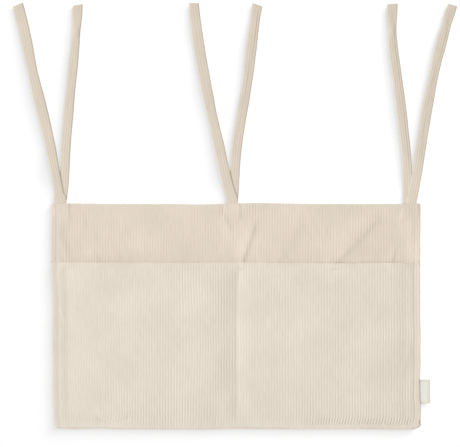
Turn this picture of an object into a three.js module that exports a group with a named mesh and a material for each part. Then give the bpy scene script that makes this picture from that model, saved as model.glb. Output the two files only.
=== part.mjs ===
import * as THREE from "three";
import { mergeVertices } from "three/addons/utils/BufferGeometryUtils.js";

// Playpen organizer, lying face up: a corduroy back and front sewn together at their
// turned-in edges, one pocket cloth that a middle seam splits into two pockets, three
// folded ties in the top seam and a bare folded tab in the right side seam.
// Millimetres. The origin is the middle of the back face, +X runs to the right,
// +Y up to the ties and +Z out of the front.

// Panel
const panelWidth = 580;
const panelHeight = 353;
const clothThickness = 1.1;
const layerGap = 0.3;
const seamAllowance = 10;
const seamFlat = 12;
const seamShoulder = 14;
const mitreGap = 0.25;

// Pockets
const pocketDepth = 261;
const pocketHem = 10;
const pocketLoft = 7;
const pocketFlatness = 20;
const pocketDrop = 20;
const dividerX = 2.4;
const dividerWidth = 6;
const hemFade = 6;

// Ties: each is one ribbon folded in half, with its fold caught in the top seam
const tieWidth = 15;
const tieThickness = 1.5;
const tieEdgeBevel = 0.8;
const tieSeamDepth = 14;
const tieStub = 6.55;
const tieHingeGap = 1.5;
const tieSwing = 150;
const tieTurn = 25;
const tieSettle = 22;
const tieLaydown = 26;
const tieTipHem = 6;
const tieTipExtra = 0.5;
const tieClearance = 1;
const tieInset = 16.5;
const middleTieX = -5.5;
const leftTieFront = 313;
const leftTieRear = 306;
const middleTieFront = 314;
const middleTieRear = 308;
const rightTieFront = 312;
const rightTieRear = 308;
const rightTieSkew = 5;

// Side tab
const tabReach = 16.5;
const tabHeight = 37.7;
const tabThickness = 0.7;
const tabAboveBottom = 57.5;
const tabSeamDepth = 9;
const tabClearance = 1;

// The lean of a leg is its angle off straight up, in degrees, at its root, half way
// along and at its tip. Length is from the hinge to the tip.
const ties = [
  {
    name: "tie_left",
    x: tieInset - panelWidth / 2,
    skew: 0,
    front: { length: leftTieFront, lean: [-13.8, -13.3, -12.2] },
    rear: { length: leftTieRear, lean: [6.5, 5, 3.3] },
  },
  {
    name: "tie_middle",
    x: middleTieX,
    skew: 0,
    front: { length: middleTieFront, lean: [-15.7, -12.1, -5.5] },
    rear: { length: middleTieRear, lean: [7, 8, 6] },
  },
  {
    name: "tie_right",
    x: panelWidth / 2 - tieInset,
    skew: rightTieSkew,
    front: { length: rightTieFront, lean: [14.9, 10, 20.3] },
    rear: { length: rightTieRear, lean: [3.7, -8.2, 3.3] },
  },
];

// Mesh fineness
const bendSteps = 4;
const pocketColumns = 12;
const pocketRows = 9;
const ribbonStep = 11;
const knuckleSteps = 4;

// The layers of a seam lie on each other a pitch apart, counted from the back cloth
const layerPitch = clothThickness + layerGap;
const layerMid = (layer) => clothThickness / 2 + layer * layerPitch;
const backLayer = 0;
const openFrontLayer = 2;
const seamFrontLayer = 3;
const foldInset = layerPitch + clothThickness / 2;

const right = panelWidth / 2;
const top = panelHeight / 2;
const sewnX = right - foldInset;
const sewnY = top - foldInset;
const mouthY = pocketDepth - top;
const tabCentreY = tabAboveBottom - top;
const hingeY = top + tieStub + tieHingeGap;

const rearTieZ = clothThickness + layerGap + tieThickness / 2;
const frontTieZ = rearTieZ + tieThickness + layerGap;
const frontOverTieZ = frontTieZ + tieThickness / 2 + layerGap + clothThickness / 2;
const tieSeatHalf = (tie) => tieWidth / 2 + Math.abs(tie.skew) / 2 + tieClearance;
const tieSeatEnd = top - tieSeamDepth - tieClearance;
const tabSeatLow = tabCentreY - tabHeight / 2 - tabClearance;
const tabSeatHigh = tabCentreY + tabHeight / 2 + tabClearance;

const cloth = { color: 0xe3d7c7, roughness: 0.95, metalness: 0 };
const clothMaterial = new THREE.MeshStandardMaterial(cloth);
const tieMaterial = new THREE.MeshStandardMaterial({ ...cloth, color: 0xdcd0bf });
const tabMaterial = new THREE.MeshStandardMaterial({ color: 0xe8e4dd, roughness: 0.8, metalness: 0 });

const clamp = THREE.MathUtils.clamp;
const ease = (t) => THREE.MathUtils.smoothstep(t, 0, 1);

// Values in rising order, with those that all but coincide taken once
function rising(...values) {
  const sorted = values.flat().sort((a, b) => a - b);
  return sorted.filter((value, i) => i === 0 || value - sorted[i - 1] > 0.2);
}

// Even steps from one value to another, both included
function spaced(from, to, count) {
  return Array.from({ length: count + 1 }, (_, i) => from + ((to - from) * i) / count);
}

// The front comes down off the seam in three straight facets
const shoulderSteps = [[0, 1], [1 / 3, 0.74], [2 / 3, 0.26], [1, 0]];
const shoulderLines = shoulderSteps.map(([share]) => seamFlat + share * seamShoulder);

// 1 over the turned-in allowance and 0 on the open panel, by the distance to the edge
function overSeam(edgeDistance) {
  const share = clamp((edgeDistance - seamFlat) / seamShoulder, 0, 1);
  const next = shoulderSteps.findIndex(([limit]) => limit >= share - 1e-9);
  if (next <= 0) return 1;
  const [low, high] = [shoulderSteps[next - 1], shoulderSteps[next]];
  return THREE.MathUtils.mapLinear(share, low[0], high[0], low[1], high[1]);
}

function seamLift(x, y) {
  const beside = overSeam(right - Math.abs(x));
  const along = overSeam(top - Math.abs(y));
  return 1 - (1 - beside) * (1 - along);
}

// How far the front is held up by a tie that is caught under it
function tieLift(x, y) {
  const below = clamp((y - tieSeatEnd + seamShoulder) / seamShoulder, 0, 1);
  const lifts = ties.map((tie) => {
    const past = Math.abs(x - tie.x) - tieSeatHalf(tie);
    return clamp(1 - past / seamShoulder, 0, 1);
  });
  return below * Math.max(...lifts);
}

function frontHeight(x, y) {
  const open = layerMid(openFrontLayer);
  const seam = open + (layerMid(seamFrontLayer) - open) * seamLift(x, y);
  const tied = open + (frontOverTieZ - open) * tieLift(x, y);
  return Math.max(seam, tied);
}

const pockets = [
  { low: seamFlat - right, high: dividerX - dividerWidth / 2 },
  { low: dividerX + dividerWidth / 2, high: right - seamFlat },
];

// An empty pocket stands a little open, nearly flat, and closes towards its three seams
function pocketBulge(x, y) {
  const depth = clamp((mouthY - y) / (pocketDepth - seamFlat), 0, 1);
  const along = 1 - depth ** pocketDrop;
  const across = pockets.map(({ low, high }) => {
    const offCentre = Math.abs((2 * (x - low)) / (high - low) - 1);
    return offCentre < 1 ? 1 - offCentre ** pocketFlatness : 0;
  });
  return pocketLoft * along * Math.max(...across);
}

// The pocket cloth rides one layer higher where its own hem is folded behind it
const hemHalfWidth = right - seamFlat;
const hemLowY = mouthY - pocketHem;

function hemLift(x, y) {
  const sideways = clamp((sewnX - Math.abs(x)) / (sewnX - hemHalfWidth), 0, 1);
  const down = clamp(1 - (hemLowY - y) / hemFade, 0, 1);
  return sideways * down;
}

function pocketHeight(x, y) {
  return frontHeight(x, y) + layerPitch * (1 + hemLift(x, y)) + pocketBulge(x, y);
}

// The cross-sections of a folded edge, from the last flat line outwards and back in.
// turn is 1 where the cloth turns up and -1 where it turns down.
function foldRings(radius, turn, depth) {
  const centre = foldInset - radius - clothThickness / 2;
  const rings = [];
  const add = (out, angle, starts) => {
    const rise = turn * radius * (1 - Math.cos(angle));
    rings.push({ out, rise, lean: turn * angle, starts, mitred: out < 0.01 });
  };
  if (centre > 0.01) add(centre, 0, true);
  for (let step = 1; step <= bendSteps; step += 1) {
    const angle = (Math.PI * step) / bendSteps;
    add(centre + radius * Math.sin(angle), angle, step === 1);
  }
  add(foldInset - depth, Math.PI, false);
  return rings;
}

// One closed piece of cloth on a grid of lines. folds.left, right, bottom and top are
// each { rings, edgeAt }. At a place along the edge, edgeAt(at) is TURNED where the
// allowance is turned all the way in, STARTED where the cloth only starts to turn, to
// let a tie or the tab out, and CUT where it ends flat. The side folds and the bottom
// fold meet in mitres.
const CUT = 0;
const STARTED = 1;
const TURNED = 2;

function clothSheet({ columns, rows, height, folds }) {
  const lastColumn = columns.length - 1;
  const lastRow = rows.length - 1;
  const reach = (side) => (folds[side] ? folds[side].rings.length : 0);
  const sideOf = (over, low, high) => (over < 0 ? low : high);

  function place(i, j) {
    const column = clamp(i, 0, lastColumn);
    const row = clamp(j, 0, lastRow);
    const point = new THREE.Vector3(columns[column], rows[row], 0);
    point.z = height(point.x, point.y);
    const normal = new THREE.Vector3(0, 0, 1);
    const overX = i - column;
    const overY = j - row;
    if (overX !== 0) {
      const ring = folds[sideOf(overX, "left", "right")].rings[Math.abs(overX) - 1];
      const side = Math.sign(overX);
      normal.set(-side * Math.sin(ring.lean), 0, Math.cos(ring.lean));
      if (row === 0 && ring.mitred) point.y += mitreGap - ring.out;
      point.x += side * ring.out;
      point.z += ring.rise;
    }
    if (overY !== 0) {
      const ring = folds[sideOf(overY, "bottom", "top")].rings[Math.abs(overY) - 1];
      const side = Math.sign(overY);
      normal.set(0, -side * Math.sin(ring.lean), Math.cos(ring.lean));
      const atCorner = overY < 0 && (column === 0 || column === lastColumn);
      if (atCorner && ring.mitred) point.x -= Math.sign(point.x) * (mitreGap - ring.out);
      point.y += side * ring.out;
      point.z += ring.rise;
    }
    return { point, normal };
  }

  function present(i, j) {
    const inColumns = i >= 0 && i < lastColumn;
    const inRows = j >= 0 && j < lastRow;
    if (inColumns && inRows) return true;
    if (!inColumns && !inRows) return false;
    const [index, last, low, high] = inRows
      ? [i, lastColumn, "left", "right"]
      : [j, lastRow, "bottom", "top"];
    const fold = folds[index < 0 ? low : high];
    const number = index < 0 ? -index : index - last + 1;
    if (!fold || number > fold.rings.length) return false;
    const at = inRows ? (rows[j] + rows[j + 1]) / 2 : (columns[i] + columns[i + 1]) / 2;
    const needed = fold.rings[number - 1].starts ? STARTED : TURNED;
    return fold.edgeAt(at) >= needed;
  }

  const vertices = [];
  const numbers = new Map();
  function corner(i, j) {
    const key = `${i},${j}`;
    if (!numbers.has(key)) {
      const { point, normal } = place(i, j);
      const half = normal.multiplyScalar(clothThickness / 2);
      numbers.set(key, vertices.length / 3);
      vertices.push(...point.clone().add(half), ...point.clone().sub(half));
    }
    return numbers.get(key);
  }

  const triangles = [];
  for (let i = -reach("left"); i < lastColumn + reach("right"); i += 1) {
    for (let j = -reach("bottom"); j < lastRow + reach("top"); j += 1) {
      if (!present(i, j)) continue;
      const ring = [corner(i, j), corner(i + 1, j), corner(i + 1, j + 1), corner(i, j + 1)];
      const [a, b, c, d] = ring;
      triangles.push(a, b, c, a, c, d);
      triangles.push(a + 1, c + 1, b + 1, a + 1, d + 1, c + 1);
      const neighbours = [present(i, j - 1), present(i + 1, j), present(i, j + 1), present(i - 1, j)];
      neighbours.forEach((joined, side) => {
        if (joined) return;
        const from = ring[side];
        const to = ring[(side + 1) % 4];
        triangles.push(from + 1, to + 1, to, from + 1, to, from);
      });
    }
  }
  return closedGeometry(vertices, triangles);
}

function closedGeometry(vertices, triangles) {
  const geometry = new THREE.BufferGeometry();
  geometry.setAttribute("position", new THREE.Float32BufferAttribute(vertices, 3));
  geometry.setIndex(triangles);
  return mergeVertices(geometry, 1e-4);
}

// A flat ribbon through a list of sections. Each section has its centre, the unit
// vectors across and through the ribbon, and its half thickness.
function ribbonGeometry(sections) {
  const outline = [[-1, 0, 0], [-1, 1, -1], [1, -1, -1], [1, 0, 0], [1, -1, 1], [-1, 1, 1]];
  const vertices = [];
  const triangles = [];
  const sides = outline.length;
  sections.forEach(({ centre, across, through, half }) => {
    outline.forEach(([edge, bevel, face]) => {
      const sideways = (edge * tieWidth) / 2 + bevel * tieEdgeBevel;
      const point = centre.clone().addScaledVector(across, sideways);
      point.addScaledVector(through, face * half);
      vertices.push(...point);
    });
  });
  for (let s = 0; s + 1 < sections.length; s += 1) {
    for (let k = 0; k < sides; k += 1) {
      const a = s * sides + k;
      const b = s * sides + ((k + 1) % sides);
      triangles.push(a, b + sides, b, a, a + sides, b + sides);
    }
  }
  const end = (sections.length - 1) * sides;
  for (let k = 1; k + 1 < sides; k += 1) {
    triangles.push(0, k, k + 1);
    triangles.push(end, end + k + 1, end + k);
  }
  return closedGeometry(vertices, triangles);
}

// Distance along a leg to its place off straight up, and its angle there
function legPath(leg) {
  const fineStep = 0.5;
  const count = Math.ceil(leg.length / fineStep);
  const [root, middle, tip] = leg.lean.map(THREE.MathUtils.degToRad);
  const angleAt = (along) => {
    const share = along / leg.length;
    const lean = root * (1 - share) * (1 - 2 * share)
      + middle * 4 * share * (1 - share) + tip * share * (2 * share - 1);
    return lean * ease(along / tieTurn);
  };
  const points = [{ along: 0, x: 0, y: 0, angle: 0 }];
  for (let n = 1; n <= count; n += 1) {
    const along = (leg.length * n) / count;
    const middleAngle = angleAt((leg.length * (n - 0.5)) / count);
    const last = points[n - 1];
    points.push({
      along,
      x: last.x + (leg.length / count) * Math.sin(middleAngle),
      y: last.y + (leg.length / count) * Math.cos(middleAngle),
      angle: angleAt(along),
    });
  }
  const at = (along) => points[Math.round((clamp(along, 0, leg.length) / leg.length) * count)];
  return { points, at };
}

// Where the upper leg of a pair has swung clear of the lower one
function apartAt(tie) {
  const front = legPath(tie.front);
  const rear = legPath(tie.rear);
  const clear = front.points.find((point) => {
    const between = point.x - rear.at(point.along).x + tie.skew;
    return Math.abs(between) > tieWidth + tieClearance;
  });
  return clear ? clear.along : Math.max(tie.front.length, tie.rear.length);
}

// A leg in the frame of its hinge, with a round end on the hinge's axis
function legGeometry(leg, hingeZ, heightAt) {
  const path = legPath(leg);
  const half = tieThickness / 2;
  const sections = [];
  const across = (angle) => new THREE.Vector3(Math.cos(angle), -Math.sin(angle), 0);
  const through = new THREE.Vector3(0, 0, 1);
  const round = spaced(-80, 0, knuckleSteps).map(THREE.MathUtils.degToRad);
  round.forEach((angle) => {
    const centre = new THREE.Vector3(0, half * Math.sin(angle), 0);
    sections.push({ centre, across: across(0), through, half: half * Math.cos(angle) });
  });
  const hemStart = leg.length - tieTipHem;
  const steps = Math.round(hemStart / ribbonStep);
  const lines = [...spaced(0, hemStart, steps).slice(1), hemStart + 1, leg.length - 0.5, leg.length];
  lines.forEach((along) => {
    const { x, y, angle } = path.at(along);
    const hemmed = along > hemStart + 0.5 ? tieTipExtra / 2 : 0;
    const worn = along === leg.length ? tieTipExtra / 2 : 0;
    const z = heightAt(along) - hingeZ + hemmed;
    sections.push({
      centre: new THREE.Vector3(x, y, z),
      across: across(angle),
      through,
      half: half + hemmed - worn,
    });
  });
  return ribbonGeometry(sections);
}

// A leg that is folded right back would meet the end of its stub, so the stub's outer
// face slopes down to a thin end there. stubPared is what comes off it at that end.
const foldedBack = THREE.MathUtils.degToRad(180 - tieSwing);
const legFace = tieThickness / 2 + layerGap;
const endHeight = (tieHingeGap * Math.sin(foldedBack) - legFace) / Math.cos(foldedBack);
const stubPared = tieThickness / 2 - endHeight;
const slopeReach = (legFace + (tieThickness / 2) * Math.cos(foldedBack)) / Math.sin(foldedBack);
const stubFullY = hingeY - slopeReach;

// The folded middle of a tie: out of the seam, round the hairpin and out again
function tieFoldGeometry(tie) {
  const turnRadius = (frontTieZ - rearTieZ) / 2;
  const turnY = top - tieSeamDepth + turnRadius + tieThickness / 2;
  const middleZ = (frontTieZ + rearTieZ) / 2;
  const across = new THREE.Vector3(1, 0, 0);
  const sections = [];
  const add = (x, y, z, angle, pared = 0) => {
    const through = new THREE.Vector3(0, -Math.sin(angle), -Math.cos(angle));
    const centre = new THREE.Vector3(x, y, z).addScaledVector(through, -pared / 2);
    sections.push({ centre, across, through, half: (tieThickness - pared) / 2 });
  };
  add(tie.x - tie.skew / 2, top + tieStub, rearTieZ, 0, stubPared);
  add(tie.x - tie.skew / 2, stubFullY, rearTieZ, 0);
  add(tie.x - tie.skew / 2, top, rearTieZ, 0);
  spaced(0, Math.PI, bendSteps).forEach((angle) => {
    const shift = (-Math.cos(angle) * tie.skew) / 2;
    const y = turnY - turnRadius * Math.sin(angle);
    add(tie.x + shift, y, middleZ - turnRadius * Math.cos(angle), angle);
  });
  add(tie.x + tie.skew / 2, top, frontTieZ, Math.PI);
  add(tie.x + tie.skew / 2, stubFullY, frontTieZ, Math.PI);
  add(tie.x + tie.skew / 2, top + tieStub, frontTieZ, Math.PI, stubPared);
  return ribbonGeometry(sections);
}

// A bare tape, folded at its outer end, with both ends in the side seam
function tabGeometry() {
  const low = clothThickness + layerGap + tabThickness / 2;
  const high = layerMid(seamFrontLayer) - clothThickness / 2 - layerGap - tabThickness / 2;
  const middle = (low + high) / 2;
  const outer = (high - low) / 2 + tabThickness / 2;
  const inner = outer - tabThickness;
  const innerX = right - tabSeamDepth;
  const bendX = right + tabReach - outer;
  const profile = new THREE.Shape();
  profile.moveTo(innerX, middle - outer);
  profile.lineTo(bendX, middle - outer);
  profile.absarc(bendX, middle, outer, -Math.PI / 2, Math.PI / 2, false);
  profile.lineTo(innerX, middle + outer);
  profile.lineTo(innerX, middle + inner);
  profile.lineTo(bendX, middle + inner);
  profile.absarc(bendX, middle, inner, Math.PI / 2, -Math.PI / 2, true);
  profile.lineTo(innerX, middle - inner);
  profile.closePath();
  const geometry = new THREE.ExtrudeGeometry(profile, {
    depth: tabHeight,
    bevelEnabled: false,
    curveSegments: 8,
  });
  geometry.rotateX(Math.PI / 2);
  geometry.translate(0, tabCentreY + tabHeight / 2, 0);
  return geometry;
}

// Lines at the same distances from both edges of the panel
function mirrored(half, distances) {
  return distances.flatMap((distance) => [distance - half, half - distance]);
}

const tieSeatLines = ties.flatMap((tie) => [tie.x - tieSeatHalf(tie), tie.x + tieSeatHalf(tie)]);
const tieLiftLines = ties.flatMap((tie) => {
  const outer = tieSeatHalf(tie) + seamShoulder;
  return [tie.x - outer, tie.x + outer];
});
const inPanel = (line) => Math.abs(line) < sewnX - 1;
const insideCorners = (line) => Math.abs(line) < right - seamFlat;

const besideTie = (x) => ties.some((tie) => Math.abs(x - tie.x) < tieSeatHalf(tie));
const outsideTies = (x) => x < ties[0].x || x > ties[ties.length - 1].x;
const betweenTies = (x) => (besideTie(x) || outsideTies(x) ? STARTED : TURNED);
const besideTab = (y) => y > tabSeatLow && y < tabSeatHigh;
const belowTies = (y) => y < tieSeatEnd;

function backGeometry() {
  const rings = foldRings(layerPitch / 2, 1, seamAllowance);
  return clothSheet({
    columns: rising(-sewnX, sewnX, mirrored(right, [seamFlat]), tieSeatLines.filter(insideCorners)),
    rows: rising(-sewnY, sewnY, mirrored(top, [seamFlat]), tabSeatLow, tabSeatHigh, tieSeatEnd),
    height: () => layerMid(backLayer),
    folds: {
      left: { rings, edgeAt: (y) => (belowTies(y) ? TURNED : STARTED) },
      right: { rings, edgeAt: (y) => (belowTies(y) && !besideTab(y) ? TURNED : STARTED) },
      bottom: { rings, edgeAt: () => TURNED },
      top: { rings, edgeAt: betweenTies },
    },
  });
}

function frontGeometry() {
  const rings = foldRings(layerPitch / 2, -1, seamAllowance);
  const turnedFrom = mouthY + tieClearance;
  const sideEdge = (y) => {
    if (y < turnedFrom) return CUT;
    return belowTies(y) ? TURNED : STARTED;
  };
  const sideLines = mirrored(right, shoulderLines);
  const endLines = mirrored(top, shoulderLines);
  return clothSheet({
    columns: rising(-sewnX, sewnX, sideLines, tieSeatLines, tieLiftLines.filter(inPanel)),
    rows: rising(-sewnY, sewnY, endLines, turnedFrom, tieSeatEnd, tieSeatEnd - seamShoulder),
    height: frontHeight,
    folds: {
      left: { rings, edgeAt: sideEdge },
      right: { rings, edgeAt: sideEdge },
      top: { rings, edgeAt: betweenTies },
    },
  });
}

function pocketGeometry() {
  const wrapRings = foldRings(layerPitch, -1, seamAllowance);
  const hemRings = foldRings(layerPitch / 2, -1, pocketHem);
  const bulgeLines = pockets.flatMap(({ low, high }) => {
    const turns = spaced(0, Math.PI, pocketColumns);
    return turns.map((angle) => low + ((high - low) * (1 - Math.cos(angle))) / 2);
  });
  const mouthRow = mouthY - foldInset;
  const shoulderRows = shoulderLines.map((distance) => distance - top);
  const openRows = spaced(seamFlat + seamShoulder - top, hemLowY - hemFade, pocketRows);
  return clothSheet({
    columns: rising(-sewnX, sewnX, mirrored(right, shoulderLines), bulgeLines),
    rows: rising(-sewnY, shoulderRows, openRows, hemLowY, mouthRow, tabSeatLow, tabSeatHigh),
    height: pocketHeight,
    folds: {
      left: { rings: wrapRings, edgeAt: () => TURNED },
      right: { rings: wrapRings, edgeAt: (y) => (besideTab(y) ? STARTED : TURNED) },
      bottom: { rings: wrapRings, edgeAt: () => TURNED },
      top: { rings: hemRings, edgeAt: (x) => (Math.abs(x) < hemHalfWidth ? TURNED : STARTED) },
    },
  });
}

function piece(name, geometry, material) {
  const mesh = new THREE.Mesh(geometry, material);
  mesh.name = name;
  return mesh;
}

// The two legs of a tie, each in a group at its own hinge
function tieLegs(tie) {
  const floorZ = tieThickness / 2;
  const onRearZ = floorZ + tieThickness + layerGap;
  const apart = apartAt(tie);
  const rearHeight = (along) => THREE.MathUtils.lerp(rearTieZ, floorZ, ease(along / tieSettle));
  const frontLegHeight = (along) => {
    const settled = THREE.MathUtils.lerp(frontTieZ, onRearZ, ease(along / tieSettle));
    return THREE.MathUtils.lerp(settled, floorZ, ease((along - apart) / tieLaydown));
  };
  const legs = [
    { side: "front", x: tie.x + tie.skew / 2, z: frontTieZ, heightAt: frontLegHeight },
    { side: "rear", x: tie.x - tie.skew / 2, z: rearTieZ, heightAt: rearHeight },
  ];
  return legs.map(({ side, x, z, heightAt }) => {
    const hinge = new THREE.Group();
    hinge.position.set(x, hingeY, z);
    const geometry = legGeometry(tie[side], z, heightAt);
    hinge.add(piece(`${tie.name}_${side}_leg`, geometry, tieMaterial));
    return hinge;
  });
}

const organizer = new THREE.Group();
organizer.add(piece("back_panel", backGeometry(), clothMaterial));
organizer.add(piece("front_panel", frontGeometry(), clothMaterial));
organizer.add(piece("pocket_panel", pocketGeometry(), clothMaterial));
organizer.add(piece("side_tab", tabGeometry(), tabMaterial));
ties.forEach((tie) => {
  organizer.add(piece(`${tie.name}_fold`, tieFoldGeometry(tie), tieMaterial));
  organizer.add(...tieLegs(tie));
});

export default organizer;
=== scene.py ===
"""A playpen organizer of wide-wale corduroy, laid flat: back, front and pocket cloth,
three pairs of ties, a bare side tab and the sewing threads."""

import math
import random

import bpy
import numpy as np
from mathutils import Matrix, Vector


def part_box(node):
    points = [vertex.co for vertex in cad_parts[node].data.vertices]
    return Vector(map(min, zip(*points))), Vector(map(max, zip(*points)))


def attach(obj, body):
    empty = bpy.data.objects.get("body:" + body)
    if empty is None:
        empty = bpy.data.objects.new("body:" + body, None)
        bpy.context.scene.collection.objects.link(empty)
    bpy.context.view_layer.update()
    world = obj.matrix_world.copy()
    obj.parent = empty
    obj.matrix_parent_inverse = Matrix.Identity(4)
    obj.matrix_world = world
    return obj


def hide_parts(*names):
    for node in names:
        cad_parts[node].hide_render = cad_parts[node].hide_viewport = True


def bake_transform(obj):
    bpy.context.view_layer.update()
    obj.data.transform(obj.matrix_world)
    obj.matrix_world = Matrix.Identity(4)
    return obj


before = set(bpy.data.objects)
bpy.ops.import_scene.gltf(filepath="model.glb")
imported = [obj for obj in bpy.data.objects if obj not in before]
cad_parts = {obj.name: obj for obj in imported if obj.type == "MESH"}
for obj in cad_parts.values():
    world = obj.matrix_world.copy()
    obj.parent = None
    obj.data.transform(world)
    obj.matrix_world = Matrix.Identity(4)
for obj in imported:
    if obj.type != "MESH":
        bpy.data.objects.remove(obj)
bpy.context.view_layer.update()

bl_info = {
    "name": "Playpen Organizer",
    "version": (1, 0, 0),
    "blender": (4, 5, 0),
    "location": "3D View > Sidebar > Organizer",
    "description": "Dresses the corduroy playpen organizer with its cloth, ties, tab and stitching",
    "category": "Object",
}

MM = 0.001

# The panel's own sizes in millimetres, from the pieces of the frame
HALF_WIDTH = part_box("back_panel")[1].x / MM
HALF_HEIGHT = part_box("back_panel")[1].y / MM
MOUTH_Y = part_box("pocket_panel")[1].y / MM
TAB_LOW, TAB_HIGH = (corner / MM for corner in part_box("side_tab"))
CLOTH = 1.1
LAYER = 1.4
ALLOWANCE = 10.0
FOLD_INSET = LAYER + CLOTH / 2
FOLD_LEAD = FOLD_INSET - LAYER / 2 - CLOTH / 2
SEWN_X = HALF_WIDTH - FOLD_INSET
SEWN_Y = HALF_HEIGHT - FOLD_INSET
SEAM_FLAT = 12.0
SEAM_SHOULDER = 14.0
OPEN_FRONT = CLOTH / 2 + 2 * LAYER
SEAM_FRONT = CLOTH / 2 + 3 * LAYER
TIED_FRONT = 5.55
TIED_FROM = 31.0
TIED_SLOPE = 16.0
TIED_BESIDE = 9.0
TAPE = 0.7
TAPE_BORDER = 2.4
TAPE_LOFT = 0.55

# Where the groove nearest to the panel's middle lies in each cloth
BACK_RIB = 0.7
FRONT_RIB = 1.9
POCKET_RIB = 0.4

# Steps round an edge's bend. Where a tie or the tab passes through the seam: the share of
# the turned allowance that is cut back, and the share of its bend that is left out
BEND_STEPS = 5
CUT_BACK = 0.95
OPENED = 0.72
POCKET_OPENED = 0.75

# Stitch lines, by their distance in from the edge they follow, and how wide a dent they make
LEFT_STITCH = 9.3
RIGHT_STITCH = 8.8
BOTTOM_STITCH = 7.1
TOP_STITCH = 5.6
HEM_STITCH = 10.2
DENT = 1.7

# Sewing thread
THREAD_RADIUS = 0.24
STITCH_LENGTH = 2.6
STITCH_STRAIGHT = 1.5
STITCH_DIP = 0.22
STITCH_STEP = 3.2
TIE_STITCH_STEP = 2.7
THREAD_SUNK = 0.18
THREAD_PROUD = 0.12

# The ties
TIE_WIDTH = 15.0
TIE_THICKNESS = 1.5
TIE_ROOT_Z = {"front": 3.95, "rear": 2.15}
TIE_FLOOR_Z = TIE_THICKNESS / 2 + 0.05
TIE_RIBS = 4
TIE_RELIEF = 0.34
TIE_FLAT_WIDTH = 13.6
TIE_SECTION_STEP = 3.0
ROUTE_STEP = 0.5
ROUTE_SMOOTHED = 8
HAIRPIN_RADIUS = 0.9
HAIRPIN_Y = HALF_HEIGHT - 14 + 1.65
HINGE_Y = HALF_HEIGHT + 8.05
TIE_HEM = 6.0


def tie_centre(name):
    """The middle of a tie's fold across the panel, in millimetres."""
    low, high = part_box(name + "_fold")
    return (low.x + high.x) / 2 / MM


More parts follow.
